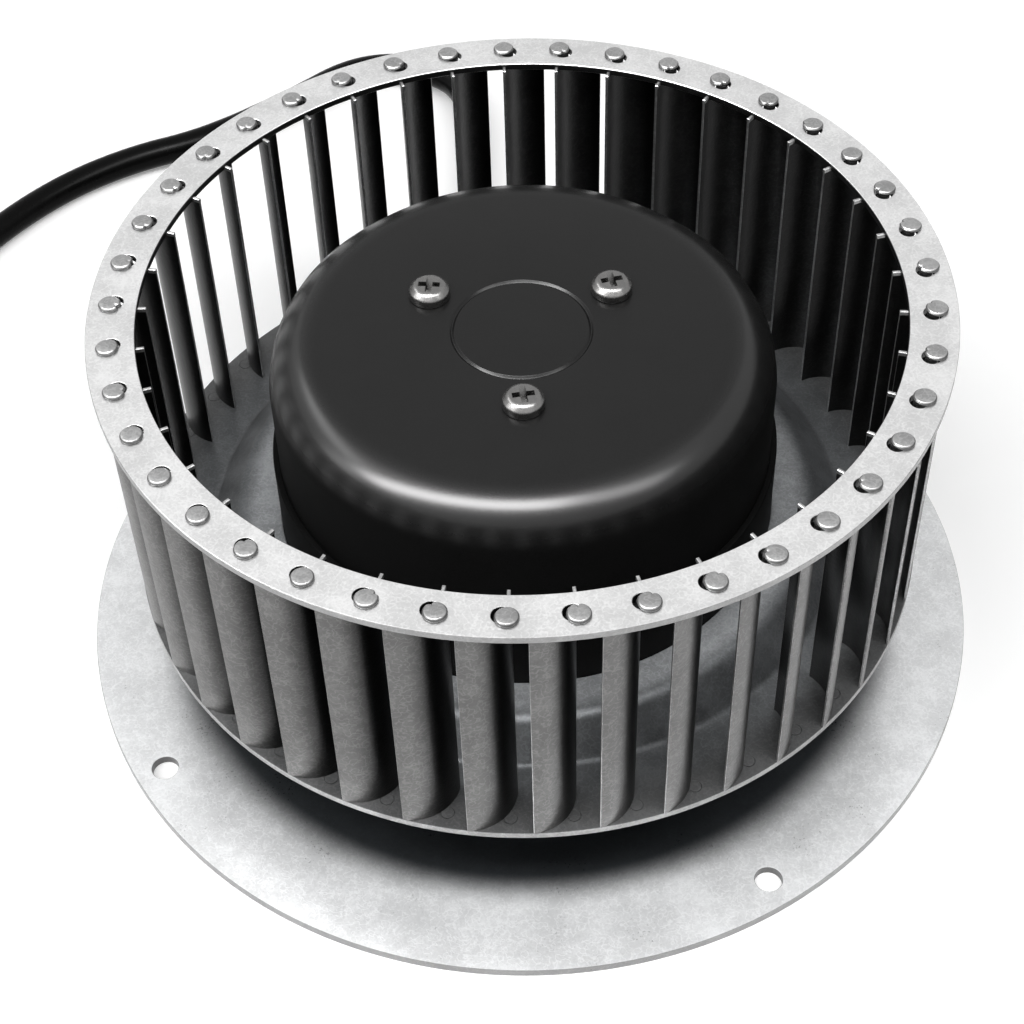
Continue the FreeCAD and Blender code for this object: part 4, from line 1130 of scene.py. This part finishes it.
# %% Grommet
WALL_OUTSIDE = 40 * MM
WALL_INSIDE = 36.4 * MM
LIP = 1.5 * MM
LIP_RADIUS = 6.2 * MM
NECK_RADIUS = 4.6 * MM
SLEEVE_END_RADIUS = 4.4 * MM
RIBS = 5
RIB_DEPTH = 0.45 * MM
RIB_FROM, RIB_TO, NOTCH_FROM, NOTCH_TO, LAST_RIB = 0.04, 0.68, 0.72, 0.98, 0.02
GROMMET_STEPS = 64


# Matt black rubber with a bloom on it.
rubber = plain_finish("rubber", grey(0.012), grey(0.03), (3 * MM, 3), (0.55, 0.2),
                      bump=(0.6 * MM, 2, 0.02 * MM))


def add_grommet():
    """Lips, neck and ribbed sleeve, turned round the cable's axis."""
    outline = [
        (0, WALL_INSIDE - LIP, 0),
        (LIP_RADIUS, WALL_INSIDE - LIP, 0.5 * MM),
        (LIP_RADIUS, WALL_INSIDE, 0.3 * MM),
        (NECK_RADIUS, WALL_INSIDE, 0),
        (NECK_RADIUS, WALL_OUTSIDE, 0),
        (LIP_RADIUS, WALL_OUTSIDE, 0.3 * MM),
        (LIP_RADIUS, WALL_OUTSIDE + LIP, 0.5 * MM),
    ]
    first = WALL_OUTSIDE + LIP
    pitch = (GLAND_END - first) / RIBS
    taper = (NECK_RADIUS - SLEEVE_END_RADIUS) / RIBS
    for rib in range(RIBS):
        z, radius = first + pitch * rib, NECK_RADIUS - taper * rib
        notch = radius - taper - RIB_DEPTH
        outline += [(radius, z + pitch * RIB_FROM, 0),
                    (radius - taper, z + pitch * RIB_TO, 0.25 * MM),
                    (notch, z + pitch * NOTCH_FROM, 0),
                    (notch, z + pitch * NOTCH_TO, 0)]
    outline.append((SLEEVE_END_RADIUS, GLAND_END - pitch * LAST_RIB, 0))
    outline.append((SLEEVE_END_RADIUS, GLAND_END, 0.2 * MM))
    outline.append((0, GLAND_END, 0))
    lay = Matrix.Rotation(GLAND_ANGLE, 4, "Z") @ Matrix.Rotation(math.pi / 2, 4, "Y")
    mesh_data = bmesh.new()
    place = Matrix.Translation((0, 0, GLAND_HEIGHT)) @ lay
    sweep_round(mesh_data, rounded(outline, steps=3), place, GROMMET_STEPS)
    piece = finish_mesh("grommet_rubber", mesh_data, rubber, "base")
    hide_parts("grommet")
    return piece


print("grommet faces", len(add_grommet().data.polygons))

# %% [markdown]
# The rest of the motor is closed in by the cup, and the foot screws are seen only from below. All
# of these are kept as the measured solids. Each still gets the finish of its metal, varnish or
# plastic, so that a cut through the motor would look right.

# %% Finishes inside the motor
METAL_MARKS = (1.5 * MM, 3)
METAL_SPREAD = 0.12


def metal(name, dark, light, rough):
    """A worked metal with fine marks."""
    return plain_finish(name, dark, light, METAL_MARKS, (rough, METAL_SPREAD), metallic=1)


def stacked_steel():
    """The edges of laminations, half a millimetre each."""
    made, shader, place = start("stacked_steel")
    height = place.node("ShaderNodeSeparateXYZ", None, {0: place}, output=2)
    layer = place.maths("SINE", height * (math.tau / (0.5 * MM)))
    shader.inputs["Metallic"].default_value = 0.9
    feed(shader, "Base Color", layer.ramp(-0.8, 0.2).blend(grey(0.08), grey(0.2)))
    feed(shader, "Roughness", 0.45 + place.noise(2 * MM) * 0.1)
    return made


def varnished_copper():
    """Turns of enamelled wire under varnish."""
    made, shader, place = start("varnished_copper")
    turns = place.noise(0.7 * MM, 2, stretch=(1, 1, 0.25))
    shader.inputs["Metallic"].default_value = 0.7
    feed(shader, "Base Color", turns.blend((0.22, 0.07, 0.02, 1), (0.45, 0.16, 0.05, 1)))
    feed(shader, "Roughness", 0.3 + turns * 0.15)
    feed_bump(shader, turns, 0.0002)
    return made


lamination = stacked_steel()
copper = varnished_copper()
plastic = plain_finish("pale_plastic", (0.5, 0.46, 0.34, 1), (0.6, 0.56, 0.44, 1),
                       (5 * MM, 2), (0.45, 0.1))
turned_steel = metal("turned_steel", grey(0.4), grey(0.55), 0.25)
bright_steel = metal("bright_steel", grey(0.55), grey(0.65), 0.12)
spring_steel = metal("spring_steel", grey(0.1), grey(0.18), 0.35)
cast_bars = metal("cast_bars", grey(0.5), grey(0.6), 0.4)
countersunk_steel = metal("countersunk_steel", grey(0.4), grey(0.55, -0.03), 0.25)
INSIDE = {
    "stator_core": lamination,
    "rotor_core": lamination,
    "rotor_cage": cast_bars,
    "upper_winding": copper,
    "lower_winding": copper,
    "upper_insulator": plastic,
    "lower_insulator": plastic,
    "shaft": turned_steel,
    "rotor_spider": turned_steel,
    "preload_washer": spring_steel,
    "retaining_ring": spring_steel,
    "foot_screws": countersunk_steel,
}
for place_name in ("upper", "lower"):
    for piece_name in ("outer_ring", "inner_ring", "balls", "cage"):
        INSIDE[f"{place_name}_bearing_{piece_name}"] = bright_steel
for node_name, finish in INSIDE.items():
    mesh = nodes[node_name].data
    mesh.materials.clear()
    mesh.materials.append(finish)
print("solids kept", len(INSIDE))

# %% [markdown]
# The fan stands on a white table in soft studio light. The floor and the sky are white to the
# camera and in reflections, but light the fan only weakly. The floor keeps the fan's soft shadow.
# A long lamp box hangs over the front of the fan, and a weak one at its left. Two more, one beside
# the long box and one behind at the left, show only in reflections and draw the line along the
# rotor's shoulder.

# %% Floor and light
FLOOR_SIZE = 6
SKY_LEVEL = 0.2
FLOOR_GLOW = 0.25
GLOW_GROWS = (0.3, 0.9)
LAMPS = (  # name, place, target, width, depth, watts, shown in reflections alone
    ("long_lamp", (-0.1, -0.3, 0.9), (-0.1, 0, 0.04), 1.8, 0.28, 14, False),
    ("sheen_lamp", (-0.45, -0.28, 0.85), (-0.45, 0, 0.04), 1.2, 0.25, 20, True),
    ("left_lamp", (-0.9, -0.1, 0.5), (0, 0, 0.04), 0.3, 0.3, 1, False),
    ("left_sheen_lamp", (-0.75, 0.35, 0.8), (0, 0.35, 0.04), 0.7, 0.2, 2.2, True),
)


def seen_directly(tree):
    """1 for rays that a viewer, a reflection or glass sends, and 0 for light on its way."""
    path = tree.nodes.new("ShaderNodeLightPath")
    camera_ray = Wave(tree, path.outputs["Is Camera Ray"])
    glossy_ray = Wave(tree, path.outputs["Is Glossy Ray"])
    clear_ray = Wave(tree, path.outputs["Is Transmission Ray"])
    return (camera_ray + glossy_ray + clear_ray).ramp(0, 1)


def add_floor():
    """A wide white table."""
    made, shader, place = start("table_white")
    feed(shader, "Base Color", place.noise(0.3).blend(grey(0.8), grey(0.82)))
    shader.inputs["Roughness"].default_value = 0.6
    shader.inputs["Specular IOR Level"].default_value = 0.1
    level = FLOOR_GLOW + place.parts()[3].ramp(*GLOW_GROWS) * (1 - FLOOR_GLOW)
    strength = seen_directly(made.node_tree) * level
    glow = place.node("ShaderNodeEmission", None, {"Strength": strength})
    both = place.node("ShaderNodeAddShader", None, {1: glow})
    made.node_tree.links.new(shader.outputs[0], both.socket.node.inputs[0])
    out = made.node_tree.nodes["Material Output"]
    made.node_tree.links.new(both.socket, out.inputs["Surface"])
    half = FLOOR_SIZE / 2
    mesh = bpy.data.meshes.new("table")
    corners = [(-half, -half, 0), (half, -half, 0), (half, half, 0), (-half, half, 0)]
    mesh.from_pydata(corners, [], [(0, 1, 2, 3)])
    mesh.materials.append(made)
    table = bpy.data.objects.new("table", mesh)
    bpy.context.collection.objects.link(table)


def add_sky():
    """An even white surround, weaker as a lamp than it looks."""
    world = bpy.data.worlds.new("studio")
    world.use_nodes = True
    background = world.node_tree.nodes["Background"]
    strength = SKY_LEVEL + seen_directly(world.node_tree) * (1 - SKY_LEVEL)
    world.node_tree.links.new(strength.socket, background.inputs["Strength"])
    background.inputs["Color"].default_value = (1, 1, 1, 1)
    bpy.context.scene.world = world


def add_lamp(name, place, target, width, depth, watts, sheen_only):
    """A soft lamp box that looks at a target; with sheen_only it shows in reflections alone."""
    lamp = bpy.data.lights.new(name, "AREA")
    lamp.shape = "RECTANGLE"
    lamp.size, lamp.size_y, lamp.energy = width, depth, watts
    made = bpy.data.objects.new(name, lamp)
    made.location = place
    aim = Vector(target) - Vector(place)
    made.rotation_euler = aim.to_track_quat("-Z", "Y").to_euler()
    made.visible_diffuse = not sheen_only
    bpy.context.collection.objects.link(made)


add_floor()
add_sky()
for lamp_facts in LAMPS:
    add_lamp(*lamp_facts)
bpy.context.scene.view_settings.view_transform = "Standard"
